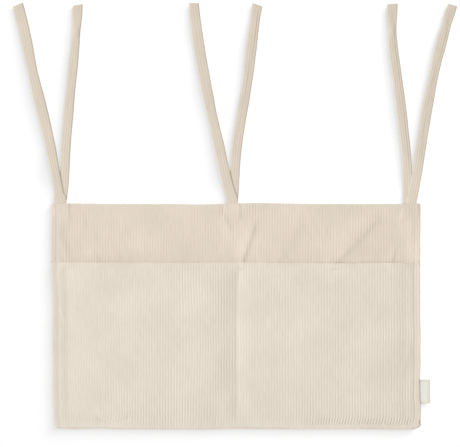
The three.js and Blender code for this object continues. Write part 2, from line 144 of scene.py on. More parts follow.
# Each leg as seen from above, in millimetres. painted_root_light: how much paler its root is
# painted, as painted light. edge: how far it lies beside its fold's middle at the panel's
# edge, and its width there. aside: how far it lies beside it at the hinge. lean: its lean off
# straight up in degrees, at distances from the hinge. length: from hinge to tip. width: at
# shares of that length. lift: how far it is lifted off the floor, how far more in places, and
# the seed of those. shaded_groove: where one groove is drawn in deeper and painted darker as
# shade, as distances from the hinge, its share of the way from the middle to the right edge
# and how deep it is. tip: degrees its end is askew. skew: how far a tie's two layers lie
# apart sideways.
TIES = {
    "tie_left": {
        "skew": 0.0,
        "front": {
            "painted_root_light": 0.03,
            "edge": (-1.3, 17.4),
            "aside": -2.0,
            "lean": ((0, -20), (6, -14), (12, -6.5), (24, -8.3), (48, -10.6), (75, -12),
                     (120, -13.2), (175, -14.3), (205, -12.7), (228, -10.5), (252, -11.8),
                     (280, -14.1), (313, -14.8)),
            "length": 313.0,
            "width": ((0, 19.4), (0.01, 18.6), (0.02, 14.6), (0.035, 13.7), (0.14, 13.8),
                      (0.2, 15.2), (0.32, 16), (0.42, 17.2), (0.5, 17.7), (0.58, 16.8),
                      (0.65, 15.2), (0.74, 16.4), (0.82, 17.4), (0.97, 17.8), (1, 17.2)),
            "lift": (2.6, 2.0, 3),
            "tip": 7.7,
        },
        "rear": {
            "painted_root_light": 0.05,
            "edge": (-1.5, 14.8),
            "aside": 0.2,
            "lean": ((0, 9), (20, 6.5), (45, 3), (72, 2.5), (97, 4), (125, 5.2), (225, 5.9),
                     (262, 5), (285, 1.5), (306, 0.5)),
            "length": 306.0,
            "width": ((0, 15.2), (0.3, 15), (0.42, 15.6), (0.55, 14.6), (0.7, 15.2), (0.78, 13.9),
                      (0.86, 13), (0.91, 13.8), (0.95, 15.6), (1, 16.8)),
            "lift": (2.4, 2.0, 5),
            "tip": 11.4,
        },
    },
    "tie_middle": {
        "skew": 0.0,
        "front": {
            "painted_root_light": 0.06,
            "edge": (0.6, 18.0),
            "aside": -0.1,
            "lean": ((0, -18), (6, -16.5), (14, -15), (34, -14.5), (50, -12.6),
                     (75, -11.8), (125, -12.9), (175, -11.2), (225, -9.6), (265, -8.2), (314, -5)),
            "length": 314.0,
            "width": ((0, 18), (0.012, 16.9), (0.03, 16), (0.2, 16), (0.28, 16.8), (0.36, 15.4),
                      (0.45, 15.2), (0.5, 16.6), (0.65, 17.2), (0.85, 16.9), (0.93, 16), (1, 16.2)),
            "lift": (2.6, 2.4, 7),
            "tip": -5.5,
        },
        "rear": {
            "painted_root_light": 0.05,
            "edge": (0.8, 15),
            "aside": 1.9,
            "lean": ((0, 6), (14, 3), (50, 3.2), (75, 6.2), (105, 9.1), (160, 10), (200, 7.2),
                     (225, 6.2), (260, 7.6), (308, 8.2)),
            "length": 308.0,
            "width": ((0, 15.6), (0.3, 15.4), (0.5, 15.9), (0.57, 14.8), (0.65, 15.8),
                      (0.78, 16.8), (0.87, 15.4), (0.91, 14.6), (0.96, 15.4), (1, 16.8)),
            "lift": (2.6, 1.8, 11),
            "shaded_groove": ((60, -0.5, 0), (90, -0.5, 0.2), (140, 0, 0.1), (190, 0, 0.4),
                       (232, 0.3, 0.35), (262, 0.5, 0.5), (288, 0.5, 0.5), (300, 0.5, 0)),
            "tip": -12.3,
        },
    },
    "tie_right": {
        "skew": 5.0,
        "front": {
            "painted_root_light": 0.085,
            "edge": (0.2, 15.6),
            "aside": 1.6,
            "lean": ((0, 14), (20, 11), (42, 9), (85, 8.8), (135, 9.6), (185, 11),
                     (235, 14.4), (265, 15.8), (312, 17.5)),
            "length": 312.0,
            "width": ((0, 16), (0.2, 14.8), (0.4, 15.6), (0.5, 15.8), (0.6, 14.2), (0.7, 14.8),
                      (0.77, 16.4), (0.85, 15.4), (0.9, 13.8), (0.95, 15.8), (1, 15.2)),
            "lift": (2.6, 2.0, 13),
            "shaded_groove": ((40, 0.3, 0), (75, 0.3, 0.35), (110, 0, 0.4), (140, 0, 0.1), (195, 0.1, 0.4),
                       (235, 0.4, 0.2), (262, 0.5, 0.5), (285, 0.05, 0.5), (300, 0, 0)),
            "tip": 1.1,
        },
        "rear": {
            "painted_root_light": 0.08,
            "edge": (0.6, 15),
            "aside": 0.4,
            "lean": ((0, 0), (30, -1.4), (62, -4.4), (85, -6.6), (120, -6.4), (170, -7.6),
                     (215, -8), (245, -4.5), (265, -2), (290, 0.5), (308, 1)),
            "length": 308.0,
            "width": ((0, 14.8), (0.23, 14.4), (0.3, 14.8), (0.45, 15.6), (0.62, 14.8),
                      (0.72, 15.2), (0.8, 14.2), (0.86, 13), (0.9, 14), (0.95, 16.2), (1, 17.4)),
            "lift": (2.6, 2.2, 17),
            "shaded_groove": ((40, 0.5, 0), (70, 0.5, 0.35), (120, 0.4, 0.4), (155, 0.5, 0.1),
                       (225, 0.5, 0.4), (275, 0.4, 0.5), (290, 0, 0.4), (300, 0, 0)),
            "tip": 6.1,
        },
    },
}


def tie_reach(tie):
    """How far to each side of its fold's middle a tie reaches in the seam."""
    aside = max(abs(tie[side]["edge"][0]) + tie[side]["edge"][1] / 2 for side in ("front", "rear"))
    return tie["skew"] / 2 + aside


def smooth(t):
    """0 below 0, 1 above 1 and an S-curve between."""
    t = np.clip(t, 0.0, 1.0)
    return t * t * (3 - 2 * t)


def unevenness(x, y, seed, size, waves=6):
    """Soft repeatable ups and downs of about that size, mostly between -1 and 1."""
    chance = random.Random(seed)
    total = np.zeros(np.broadcast(x, y).shape)
    for _ in range(waves):
        turn = chance.uniform(0, 2 * math.pi)
        rate = 2 * math.pi / (size * chance.uniform(0.7, 1.7))
        start = chance.uniform(0, 2 * math.pi)
        total = total + np.sin(rate * (x * math.cos(turn) + y * math.sin(turn)) + start)
    return total / math.sqrt(waves) / 1.2


def rise(distance, reach):
    """0 at a seam and 1 from reach on, steepest at the seam."""
    return 1 - (1 - np.clip(distance / reach, 0, 1)) ** 2


def valley(distance, width):
    """1 at a line and almost 0 from twice that width off it."""
    return np.exp(-((distance / width) ** 2))


def rucked(x, y, start, end, gentle, steep, fade=0.25):
    """A crease from start down to end: 1 along its line, fading at its ends, gently to its
    left and steeply to its right."""
    along = np.array(end, float) - np.array(start, float)
    length = float(np.hypot(*along))
    px, py = x - start[0], y - start[1]
    share = (px * along[0] + py * along[1]) / length**2
    off = (px * along[1] - py * along[0]) / length
    width = np.where(off < 0, steep, gentle)
    ends = smooth(share / fade) * smooth((1 - share) / fade)
    return np.exp(-((off / width) ** 2)) * ends


def ridge(x, y, start, end, width, fade=0.25):
    """A crease whose two sides are alike."""
    return rucked(x, y, start, end, width, width, fade)


# The panel's outline as it lies: its edges lean and wave by a few millimetres


def left_lean(y):
    low = 3.0 * smooth((80 - y) / 60)
    middle = 1.5 * smooth((-95 - y) / 60)
    return low + middle + 2.4 * smooth((-160 - y) / 16)


def right_lean(y):
    corner = 0.4 + 0.6 * smooth((y - 150) / 20)
    return corner + 1.4 * smooth((-128 - y) / 14) - 0.4 * np.sin(y / 31)


def top_wave(x):
    at = (-290, -255, -195, -95, -66, -35, 0, 25, 60, 120, 240, 290)
    up = (0.9, 0.8, 0.1, 0.1, -0.7, -0.2, 0.9, 1.9, 1.1, 0.1, 0.0, 0.8)
    return np.interp(x, at, up)


def bottom_wave(x):
    at = (-290, -262, -222, -205, -190, -120, -50, -5, 30, 100, 200, 255, 275, 283, 290)
    up = (0.3, -0.9, -0.1, -0.2, -1.0, -1.5, -1.7, -0.3, -0.6, -1.3, -0.9, -2.0, -1.5, 0.0, 3.2)
    return np.interp(x, at, up)


# The panel's corners: which side, top or bottom, and radius
CORNERS = ((1, 1, 2.5), (-1, 1, 2.5), (1, -1, 3.6), (-1, -1, 2.4))


def round_corners(x, y):
    """Draws each square corner of the panel in to a round one."""
    for side_x, side_y, radius in CORNERS:
        u = np.maximum(side_x * x - HALF_WIDTH + radius, 0)
        v = np.maximum(side_y * y - HALF_HEIGHT + radius, 0)
        drawn = 1 - np.maximum(u, v) / np.maximum(np.hypot(u, v), 1e-9)
        x = x - side_x * u * drawn
        y = y - side_y * v * drawn
    return x, y


def panel_outline(x, y):
    """Where a point of the squared-up panel lies in the photographed one."""
    x, y = round_corners(x, y)
    from_left = smooth(1 - (x + HALF_WIDTH) / 170)
    from_right = smooth(1 - (HALF_WIDTH - x) / 120)
    from_top = smooth(1 - (HALF_HEIGHT - y) / 80)
    from_bottom = smooth(1 - (y + HALF_HEIGHT) / 55)
    moved_x = x + left_lean(y) * from_left + right_lean(y) * from_right
    moved_y = y + top_wave(x) * from_top + bottom_wave(x) * from_bottom
    return moved_x, moved_y


# How high the cloths lie


def over_seam(edge_distance):
    return smooth((SEAM_FLAT + SEAM_SHOULDER - edge_distance) / SEAM_SHOULDER)


def seam_share(x, y):
    beside = over_seam(HALF_WIDTH - np.abs(x))
    along = over_seam(HALF_HEIGHT - np.abs(y))
    return 1 - (1 - beside) * (1 - along)


def tie_share(x, y):
    """How far the front cloth is held up by the ties caught under it."""
    below = smooth((y - HALF_HEIGHT + TIED_FROM) / TIED_SLOPE)
    across = np.zeros(np.broadcast(x, y).shape)
    for name, tie in TIES.items():
        past = np.abs(x - tie_centre(name)) - tie_reach(tie) - 0.5
        across = np.maximum(across, smooth(1 - past / TIED_BESIDE))
    return below * across


def front_base(x, y):
    seam = OPEN_FRONT + (SEAM_FRONT - OPEN_FRONT) * seam_share(x, y)
    tied = OPEN_FRONT + (TIED_FRONT - OPEN_FRONT) * tie_share(x, y)
    return np.maximum(seam, tied)


# Creases of the cloth above the pockets: start, end, height, gentle width, steep width
CREASES = (
    ((34, 156), (1.8, 60), 1.65, 10.5, 3.9),
    ((232, 166), (140, 68), 1.9, 17, 6.5),
    ((110, 158), (60, 80), 0.8, 14, 7.0),
    ((-276, 122), (-258, 74), 1.3, 5, 6.0),
    ((250, 108), (243, 72), 0.8, 6, 2.5),
    ((-34, 182), (-4, 130), 1.1, 7, 3.5),
    ((-245, 172), (-236, 134), 0.7, 8, 4.0),
    ((-226, 108), (-214, 72), 0.6, 8, 4.0),
)


def front_relief(x, y, reach=12, soften=1.0):
    """How far the cloth above the pockets stands off its plain height. It settles over
    that reach below the mouth, and the steep sides of its creases are softened."""
    shown = smooth((y - MOUTH_Y + reach) / (reach + 2)) * (1 - seam_share(x, y) * 0.8)
    soft = 0.45 * (1 + unevenness(x, y, seed=3, size=70))
    soft = soft + 0.12 * (1 + unevenness(x, y, seed=5, size=22))
    creases = 0.0
    for start, end, up, gentle, steep in CREASES:
        creases = creases + up * rucked(x, y, start, end, gentle * soften**0.3, steep * soften, 0.2)
    pulled = 1.2 * valley(x - divider_line(y), 10) * (1 - smooth((y - MOUTH_Y - 2) / 9))
    return shown * (soft + creases) - pulled * smooth((y - MOUTH_Y + 60) / 50)


def side_dents(x, left_depth, right_depth, right_width):
    """How far the stitching beside the two side edges draws a cloth in."""
    left = left_depth * valley(x + HALF_WIDTH - LEFT_STITCH, DENT)
    return left + right_depth * valley(HALF_WIDTH - x - RIGHT_STITCH, right_width)


def front_height(x, y):
    """The middle of the front cloth."""
    stitched = 0.45 * valley(HALF_HEIGHT - y - TOP_STITCH, DENT)
    stitched = stitched + side_dents(x, 0.4, 0.25, 2.2)
    return front_base(x, y) + front_relief(x, y) - stitched


def divider_line(y):
    """The divider's stitching runs a little to the right at the mouth."""
    return 2.6 + 1.9 * smooth((y - 30) / 52)


def hem_share(x):
    """1 where the hem is folded behind the mouth, and 0 near the side seams."""
    return smooth((SEWN_X - 8 - np.abs(x)) / 9)


def pocket_loft(x, y):
    """How far the pockets stand open between their three seams, fuller in places."""
    line = divider_line(y)
    fuller = valley(x + 40, 38) * smooth((78 - y) / 40) * smooth((y + 160) / 70)
    left = rise(x + HALF_WIDTH - 12, 62) * rise(line - 1 - x, 31) * (2.1 + 2.5 * fuller)
    right = rise(x - line - 1, 24) * rise(HALF_WIDTH - 9 - x, 36)
    right = right * (2.0 + 2.4 * smooth((x - 110) / 120))
    return np.where(x < line, left, right) * rise(y + HALF_HEIGHT - 9, 30)


def pocket_dents(x, y):
    """How far the seams draw the pocket cloth in."""
    dents = side_dents(x, 0.36, 0.22, 2.4)
    dents = dents + 0.2 * valley(MOUTH_Y - HEM_STITCH - y, 1.5)
    at_divider = valley(x - divider_line(y), DENT)
    dents = dents + 0.15 * at_divider * smooth((MOUTH_Y + 2 - y) / 3)
    first, second = gathered(x)
    above = y + HALF_HEIGHT - BOTTOM_STITCH
    at_bottom = valley(above, np.where(above > 0, 4.5, 1.6))
    dents = dents + at_bottom * (0.25 + 0.85 * second + 0.2 * first)
    sagging = -165.6 + 7.5 * ((x + 193) / 26) ** 2
    return dents + 0.9 * first * valley(y - sagging, 1.9)


def pocket_height(x, y):
    """The middle of the pocket cloth over the front, loose between its three seams."""
    hem = hem_share(x) * np.clip(1 - (MOUTH_Y - 10 - y) / 8, 0, 1)
    loft = pocket_loft(x, y)
    soft = 0.32 * unevenness(x, y, seed=11, size=85)
    soft = soft + 0.1 * unevenness(x, y, seed=13, size=24)
    soft = soft * np.clip(loft / 2, 0, 1)
    creases = 0.5 * ridge(x, y, (-280, 22), (-270, -8), 2.6)
    creases = creases + 0.5 * ridge(x, y, (276, -40), (258, -100), 4)
    rolled = 0.9 * valley(HALF_WIDTH - x - 1, 2.0)
    rolled = rolled * smooth((-88 - y) / 12) * smooth((y + 158) / 10)
    pressed = 0.9 * smooth((np.abs(x) - 266) / 8) * smooth((y - MOUTH_Y + 10) / 8)
    over = LAYER + np.maximum(LAYER * hem, loft) + 0.3 * hem
    height = front_base(x, y) + front_relief(x, y, 24, 2.6) + over + soft + creases
    return height - pocket_dents(x, y) - rolled - pressed


# Where the ribs above the pockets are drawn together: start, end, width, how much deeper
DRAWN = (
    ((227, 159), (164, 104), 7, 1.2),
    ((168, 108), (146, 82), 9, 1.3),
    ((-266, 130), (-266, 80), 6, 1.1),
    ((-22, 182), (-22, 148), 4, 1.3),
    ((27, 190), (27, 142), 6, 1.7),
    ((-238, 172), (-238, 136), 7, 0.7),
    ((-214, 96), (-214, 80), 10, 0.8),
    ((244, 94), (244, 80), 5, 1.0),
    ((-28, 178), (-5, 140), 5, 1.0),
    ((108, 158), (66, 96), 8, 0.5),
)


def front_grooves(x, y):
    """How deep the front cloth's grooves are beside their usual depth."""
    depth = 0.68 + 0.24 * smooth((x + 60) / 120)
    for start, end, width, deeper in DRAWN:
        depth = depth + deeper * ridge(x, y, start, end, width, 0.3)
    return depth


# Patches of painted light and shade on the cloth: the middle of each patch, its reach across
# and along, and how much lighter or darker it is painted
FRONT_PAINTED_SHADING = (
    (286, 89, 6, 12, 0.045), (-172, 134, 8, 12, -0.018), (-247, 110, 5, 8, -0.02),
    (-21, 104, 6, 12, 0.018), (0, 174, 11, 12, 0.018), (-282, 90, 5, 10, -0.02),
    (-290, 170, 3, 9, -0.035), (37, 138, 6, 11, 0.012), (31, 117, 6, 9, 0.034),
    (28, 101, 7, 10, 0.042), (-224, 86, 30, 4, -0.022), (281, 96, 9, 17, 0.04),
    (12, 116, 17, 24, 0.018), (92, 104, 24, 17, 0.016), (-176, 128, 18, 22, -0.015),
    (-174, 132, 38, 28, -0.025), (-229, 110, 25, 20, -0.02), (-287, 160, 12, 28, -0.03),
    (-87, 105, 50, 25, 0.015), (46, 126, 60, 40, 0.025), (36, 118, 14, 30, 0.02),
    (196, 130, 20, 40, 0.03), (13, 95, 3.5, 9, -0.05), (29, 134, 3.5, 8, -0.02),
    (160, 90, 130, 8, 0.03), (2, 167, 12, 14, 0.025), (279, 102, 18, 22, 0.05),
    (227, 98, 40, 14, 0.015),
)
POCKET_PAINTED_SHADING = (
    (286, 77, 6, 10, 0.03), (276, -30, 4, 24, 0.02), (58, -112, 26, 14, 0.016),
    (-282, 78, 5, 10, -0.02), (-271, -40, 4, 170, -0.015), (-291, -40, 3, 170, -0.035),
    (-279, -60, 3, 130, -0.022), (-291, -40, 4.5, 170, -0.06), (-230, -161, 44, 6, -0.03),
    (-21, -138, 7, 42, 0.034), (-20, 62, 8, 26, 0.018), (-280, -40, 22, 150, -0.02),
    (-289, -40, 7, 170, -0.035), (-268, -166, 50, 14, -0.025), (0, -152, 300, 16, -0.015),
    (190, -161, 130, 6, -0.025), (190, -90, 90, 70, -0.01), (5, -140, 14, 22, -0.03),
    (60, 20, 60, 90, 0.012), (-12, -60, 12, 120, 0.02), (150, 76, 140, 10, 0.02),
    (276, -10, 7, 90, 0.03),
)


def painted_shading_of(patches, x, y):
    """Painted light and shade on a cloth, place by place, beside its usual colour."""
    light = 1.0
    for at_x, at_y, across, along, change in patches:
        light = light + change * valley(x - at_x, across) * valley(y - at_y, along)
    return light


def gathered(x):
    """The two stretches of the bottom seam that gather the cloth above them."""
    first = smooth((x + 224) / 8) * smooth((-163 - x) / 8)
    second = smooth((x - 90) / 60) * smooth((284 - x) / 10)
    return first, second


def groove_depth(x, y):
    """How deep the pocket's grooves are beside their usual depth."""
    first, second = gathered(x)
    above = y + HALF_HEIGHT - BOTTOM_STITCH
    low = smooth(above / 1.5) * (1 - smooth((above - 6) / 9))
    at = (-290, -240, -165, -75, -20, 12, 70, 150, 290)
    fresh = np.interp(x, at, (0.1, 0.35, 0.6, 1.2, 1.5, 0.8, 0.75, 1.15, 1.2))
    worn = 0.35 * smooth((-90 - x) / 60) * smooth((y + 30) / 60)
    lower = 1.15 * valley(x + 130, 58) * smooth((-105 - y) / 30)
    lower = lower + 0.4 * valley(x - 150, 90) * smooth((-105 - y) / 30)
    band = 0.5 * (1 - smooth(above / 2)) * (y < MOUTH_Y)
    drawn = low * (2.6 * second + 0.9 * first)
    return fresh * (1 - worn) + lower + drawn - band


def rib_sway(x, y):
    """How far a rib wanders sideways off its straight line."""
    drag = 2.2 * valley(x + 24, 24) * (smooth((72 - y) / 90) - smooth((-55 - y) / 90))
    sway = 0.3 * unevenness(x, y, seed=21, size=60) + 0.12 * unevenness(x, y, seed=23, size=18)
    return sway + drag * (y < MOUTH_Y)


def hem_slant(x, y):
    """The ribs are dragged over where the bottom seam twists."""
    above = y + HALF_HEIGHT - BOTTOM_STITCH
    amount = 0.7 + 1.5 * smooth((x + 225) / 14) * smooth((-160 - x) / 14)
    amount = amount + 1.6 * smooth((x - 120) / 50)
    return -amount * smooth((above + 1.6) / 1.6) * (1 - smooth(above / 13))


# Making cloth


class ClothBuild:
    """A cloth's points, in millimetres, and its faces while it is put together. face is 1
    for a cloth whose ribbed side looks up and -1 for one that looks down."""

    def __init__(self, face=1):
        self.face = face
        self.points, self.rib, self.flat, self.faces = [], [], [], []
        self.count = 0

    def add(self, x, y, z, rib, u, v):
        """New points with their rib height and their place on the flat cloth. Gives their
        numbers."""
        shape = np.shape(x)
        for kept, values in ((self.points, (x, y, z)), (self.rib, (rib,)), (self.flat, (u, v))):
            kept.append(np.stack([np.ravel(np.broadcast_to(value, shape)) for value in values], 1))
        numbers = self.count + np.arange(np.size(x)).reshape(shape)
        self.count += np.size(x)
        return numbers

    def loop(self, numbers):
        self.faces.append(numbers[:: self.face])

    def quads(self, a, b, c, d):
        """Faces between four rows or grids of point numbers."""
        for numbers in np.stack([np.ravel(corner) for corner in (a, b, c, d)], 1).tolist():
            self.loop(numbers)

    def both_sides(self, ribbed, plain):
        """The faces of a grid of points and of the one under it."""
        self.quads(ribbed[:-1, :-1], ribbed[1:, :-1], ribbed[1:, 1:], ribbed[:-1, 1:])
        self.quads(plain[:-1, :-1], plain[:-1, 1:], plain[1:, 1:], plain[1:, :-1])

    def place(self):
        """All points across and along, before they are moved to where they lie."""
        return np.concatenate(self.points)[:, :2].T

    def made(self, name, painted_shading, moved):
        """The mesh object, without the points that no face uses, with its rib height and its
        painted light and shade as attributes and its place on the flat cloth as a UV map.
        moved(x, y) gives each point its last place."""
        points, rib, flat = (np.concatenate(kept) for kept in (self.points, self.rib, self.flat))
        points[:, :2] = np.stack(moved(points[:, 0], points[:, 1]), 1)
        used = np.zeros(len(points), bool)
        used[np.concatenate([np.array(face) for face in self.faces])] = True
        number = np.cumsum(used) - 1
        faces = [[int(number[n]) for n in face] for face in self.faces]
        mesh = bpy.data.meshes.new(name)
        mesh.from_pydata((points[used] * MM).tolist(), [], faces)
        for title, values in (("rib", rib[:, 0]), ("painted_shading", np.broadcast_to(painted_shading, len(points)))):
            attribute = mesh.attributes.new(title, "FLOAT", "POINT")
            attribute.data.foreach_set("value", values[used].astype(np.float32))
        corners = np.empty(len(mesh.loops), int)
        mesh.loops.foreach_get("vertex_index", corners)
        uv = mesh.uv_layers.new(name="cloth")
        placed = (flat[used] * MM)[corners]
        uv.data.foreach_set("uv", placed.astype(np.float32).ravel())
        mesh.polygons.foreach_set("use_smooth", np.ones(len(mesh.polygons), bool))
        mesh.validate()
        mesh.update()
        return linked(name, mesh)


def linked(name, data):
    """A new object of this mesh, lamp or camera in the scene."""
    piece = bpy.data.objects.new(name, data)
    bpy.context.scene.collection.objects.link(piece)
    return piece


# Where a rib gets its lines: in its groove, beside it and on both sides of its crest
RIB_SHARES = (0, 0.14, 0.38, 0.62, 0.86)
EDGE_GAP = 0.2


def rib_lines(low, high, pitch, start):
    """Lines along the ribs of a cloth, and which of them are grooves or edges."""
    places, plain = [low], [True]
    for number in range(math.floor((low - start) / pitch), math.ceil((high - start) / pitch) + 1):
        for share in RIB_SHARES:
            x = start + (number + share) * pitch
            if low + EDGE_GAP < x < high - EDGE_GAP:
                places.append(x)
                plain.append(share == 0)
    return np.array(places + [high]), np.array(plain + [True])


def rib_crest(across, pitch, start):
    """1 on the round crest of a rib and 0 in the narrow groove between two."""
    share = np.mod((across - start) / pitch, 1.0)
    return 1 - np.abs(2 * share - 1) ** 3.2


def graded(*stretches):
    """Rows over (from, to, about this far apart) stretches that follow each other."""
    rows = []
    for low, high, step in stretches:
        count = max(1, round((high - low) / step))
        rows.extend(low + (high - low) * n / count for n in range(count))
    return np.array(rows + [stretches[-1][1]])


def around(columns, rows):
    """The edge of a grid, anticlockwise from its lower left corner: column and row
    numbers, and which way is out."""
    wide, high = len(columns), len(rows)
    bottom = [(i, 0) for i in range(wide)]
    right = [(wide - 1, j) for j in range(1, high)]
    top = [(i, high - 1) for i in range(wide - 2, -1, -1)]
    left = [(0, j) for j in range(high - 2, 0, -1)]
    places = np.array(bottom + right + top + left)
    out_x = np.where(places[:, 0] == 0, -1.0, np.where(places[:, 0] == wide - 1, 1.0, 0.0))
    out_y = np.where(places[:, 1] == 0, -1.0, np.where(places[:, 1] == high - 1, 1.0, 0.0))
    return places.T, out_x, out_y


def even_depth(x, y):
    """Grooves that are all as deep as usual."""
    return 1.0


def worn_relief(x, y, relief, depth):
    """How deep the grooves are over a cloth's face, and less so beside its edges."""
    near_edge = np.minimum(SEWN_X - np.abs(x), np.minimum(y - y.min(), y.max() - y))
    deep = depth(x, y) + 0.25 * unevenness(x, y, seed=33, size=75)
    deep = np.clip(deep + 0.2 * unevenness(x * 6, y, seed=31, size=45), 0.2, 4.2)
    return relief * deep * (0.45 + 0.55 * smooth(near_edge / 5))


def edge_rings(build, x, y, z, out_x, out_y, fold, ribs):
    """Points round a cloth's edge, ring by ring, as it is turned: its ribbed side and its
    plain one."""
    pitch, start, relief = ribs
    lead, radius, turn, angle, allowance = fold(x, y, out_x, out_y)
    ribbed, plain = [], []
    bends = [n / BEND_STEPS for n in range(BEND_STEPS + 1)]
    for share, past in [(share, 0) for share in bends] + [(1.0, allowance)]:
        bend = angle * share
        out = lead + radius * np.sin(bend) + past * np.cos(bend)
        up = turn * (radius * (1 - np.cos(bend)) + past * np.sin(bend))
        walked = lead + (radius + CLOTH / 2) * bend + past
        side_rib = rib_crest(np.sign(out_x) * (np.abs(x) + walked), pitch, start)
        rib = np.where(out_x != 0, side_rib, rib_crest(x, pitch, start))
        u, v = x + out_x * walked, y + out_y * walked
        crested = CLOTH / 2 - 0.35 * relief * (1 - rib)
        for rings, off, shown in ((ribbed, crested, rib), (plain, -CLOTH / 2, 0.5)):
            off = build.face * off
            beyond = out - turn * np.sin(bend) * off
            over = z + up + np.cos(bend) * off
            rings.append(build.add(x + out_x * beyond, y + out_y * beyond, over, shown, u, v))
    return ribbed, plain


def close_edge(build, ribbed, backing, at_groove, first, last):
    """The faces of a turned edge from its place first to its place last, ring by ring, and
    the walls between its ribbed side and its plain one."""
    count = len(at_groove)
    turned = np.arange(first, last + 1) % count
    a, b = turned[:-1], turned[1:]
    for low, high in zip(ribbed[:-1], ribbed[1:]):
        build.quads(low[a], high[a], high[b], low[b])
    in_grooves = turned[at_groove[turned]]
    a, b = in_grooves[:-1], in_grooves[1:]
    for low, high in zip(backing[:-1], backing[1:]):
        build.quads(low[a], low[b], high[b], high[a])

    def wall(run, ring):
        """Closes the edge between the ribbed face and the plain one, rib by rib."""
        stops = np.flatnonzero(at_groove[run])
        for a, b in zip(stops[:-1], stops[1:]):
            upper = ribbed[ring][run[a:b + 1]][::-1]
            build.loop(backing[ring][run[[a, b]]].tolist() + upper.tolist())

    wall(turned, -1)
    if last - first < count:
        wall(np.arange(last, first + count + 1) % count, 0)
        for place, order in ((turned[0], -1), (turned[-1], 1)):
            for ring in range(len(ribbed) - 1):
                ends = [ribbed[ring][place], ribbed[ring + 1][place],
                        backing[ring + 1][place], backing[ring][place]]
                build.loop(ends[::order])


def ribbed_cloth(name, start, rows, height, fold, shape, face=1, open_rows=0,
                 depth=even_depth, patches=()):
    """A closed piece of ribbed cloth with its edges turned. start is where one of its
    grooves lies. fold(x, y, out_x, out_y) gives each place on the edge its lead, radius,
    turn, angle and allowance. The bottom and that many open rows above it aren't turned."""
    cloth = bpy.context.scene.organizer_cloth
    pitch, relief = cloth.rib_pitch / MM, cloth.rib_relief / MM
    columns, plain = rib_lines(-SEWN_X, SEWN_X, pitch, start)
    build = ClothBuild(face)
    grid_x, grid_y = np.meshgrid(columns, rows, indexing="ij")
    grid_z = height(grid_x, grid_y)
    crest = np.broadcast_to(rib_crest(columns, pitch, start)[:, None], grid_x.shape)
    worn = worn_relief(grid_x, grid_y, relief, depth)
    top_z = grid_z + face * (CLOTH / 2 - worn * (1 - crest))
    outer = build.add(grid_x, grid_y, top_z, crest, grid_x, grid_y)
    under = np.flatnonzero(plain)
    under_x, under_y = grid_x[under], grid_y[under]
    inner = build.add(under_x, under_y, grid_z[under] - face * CLOTH / 2, 0.5, under_x, under_y)
    build.both_sides(outer, inner)

    (edge_i, edge_j), out_x, out_y = around(columns, rows)
    inner_at = np.full(outer.shape, -1)
    inner_at[under] = inner
    ribbed, backing = edge_rings(
        build, columns[edge_i], rows[edge_j], grid_z[edge_i, edge_j], out_x, out_y, fold,
        (pitch, start, relief),
    )
    ribbed.insert(0, outer[edge_i, edge_j])
    backing.insert(0, inner_at[edge_i, edge_j])
    first, last = 0, len(edge_i)
    if open_rows:
        first, last = first + len(columns) - 1 + open_rows, last - open_rows
    close_edge(build, ribbed, backing, plain[edge_i], first, last)
    # The patches are painted light and shade, lightening or darkening the cloth point by point.
    return build.made(name, painted_shading_of(patches, *build.place()), shape)


# Finishes


def new_material(name):
    material = bpy.data.materials.new(name)
    material.use_nodes = True
    return material, material.node_tree, material.node_tree.nodes["Principled BSDF"]


def add_node(tree, kind, inputs=None, **settings):
    """A new shader node with these settings. Each of its inputs, by name or number, is
    linked to a socket or set to a plain value."""
    node = tree.nodes.new("ShaderNode" + kind)
    for setting, value in settings.items():
        setattr(node, setting, value)
    for place, value in (inputs or {}).items():
        if isinstance(value, bpy.types.NodeSocket):
            tree.links.new(value, node.inputs[place])
        else:
            node.inputs[place].default_value = value
    return node


def flat_cloth_place(tree):
    return add_node(tree, "UVMap", uv_map="cloth").outputs["UV"]


def point_value(tree, name):
    return add_node(tree, "Attribute", attribute_name=name).outputs["Fac"]


def noise_on(tree, place, stretch, scale, detail=3.0):
    """A noise pattern on a cloth's own flat coordinates."""
    mapping = add_node(tree, "Mapping", {"Vector": place, "Scale": stretch})
    pattern = {"Vector": mapping.outputs["Vector"], "Scale": scale, "Detail": detail}
    return add_node(tree, "TexNoise", pattern).outputs["Fac"]


def ranged(tree, source, low, high, from_low=0.3, from_high=0.7):
    """A pattern stretched so that it runs from low to high."""
    limits = {"From Min": from_low, "From Max": from_high, "To Min": low, "To Max": high}
    return add_node(tree, "MapRange", {"Value": source, **limits}).outputs["Result"]


def times(tree, product, *others):
    """All of them multiplied together."""
    for other in others:
        node = add_node(tree, "Math", {0: product, 1: other}, operation="MULTIPLY")
        product = node.outputs["Value"]
    return product


def mixed(tree, share, first, second, blend_type="MIX"):
    """The first colour where the share is 0 and the second where it is 1."""
    colours = {"Factor": share, 6: first, 7: second}
    return add_node(tree, "Mix", colours, data_type="RGBA", blend_type=blend_type).outputs[2]


def shaded(tree, colour, factor):
    """A colour made lighter or darker by a factor."""
    grey = add_node(tree, "CombineColor", {"Red": factor, "Green": factor, "Blue": factor})
    return mixed(tree, 1.0, colour, grey.outputs["Color"], "MULTIPLY")


def raise_surface(tree, shader, height, strength, distance):
    lifted = {"Height": height, "Strength": strength, "Distance": distance}
    bump = add_node(tree, "Bump", lifted)
    tree.links.new(bump.outputs["Normal"], shader.inputs["Normal"])


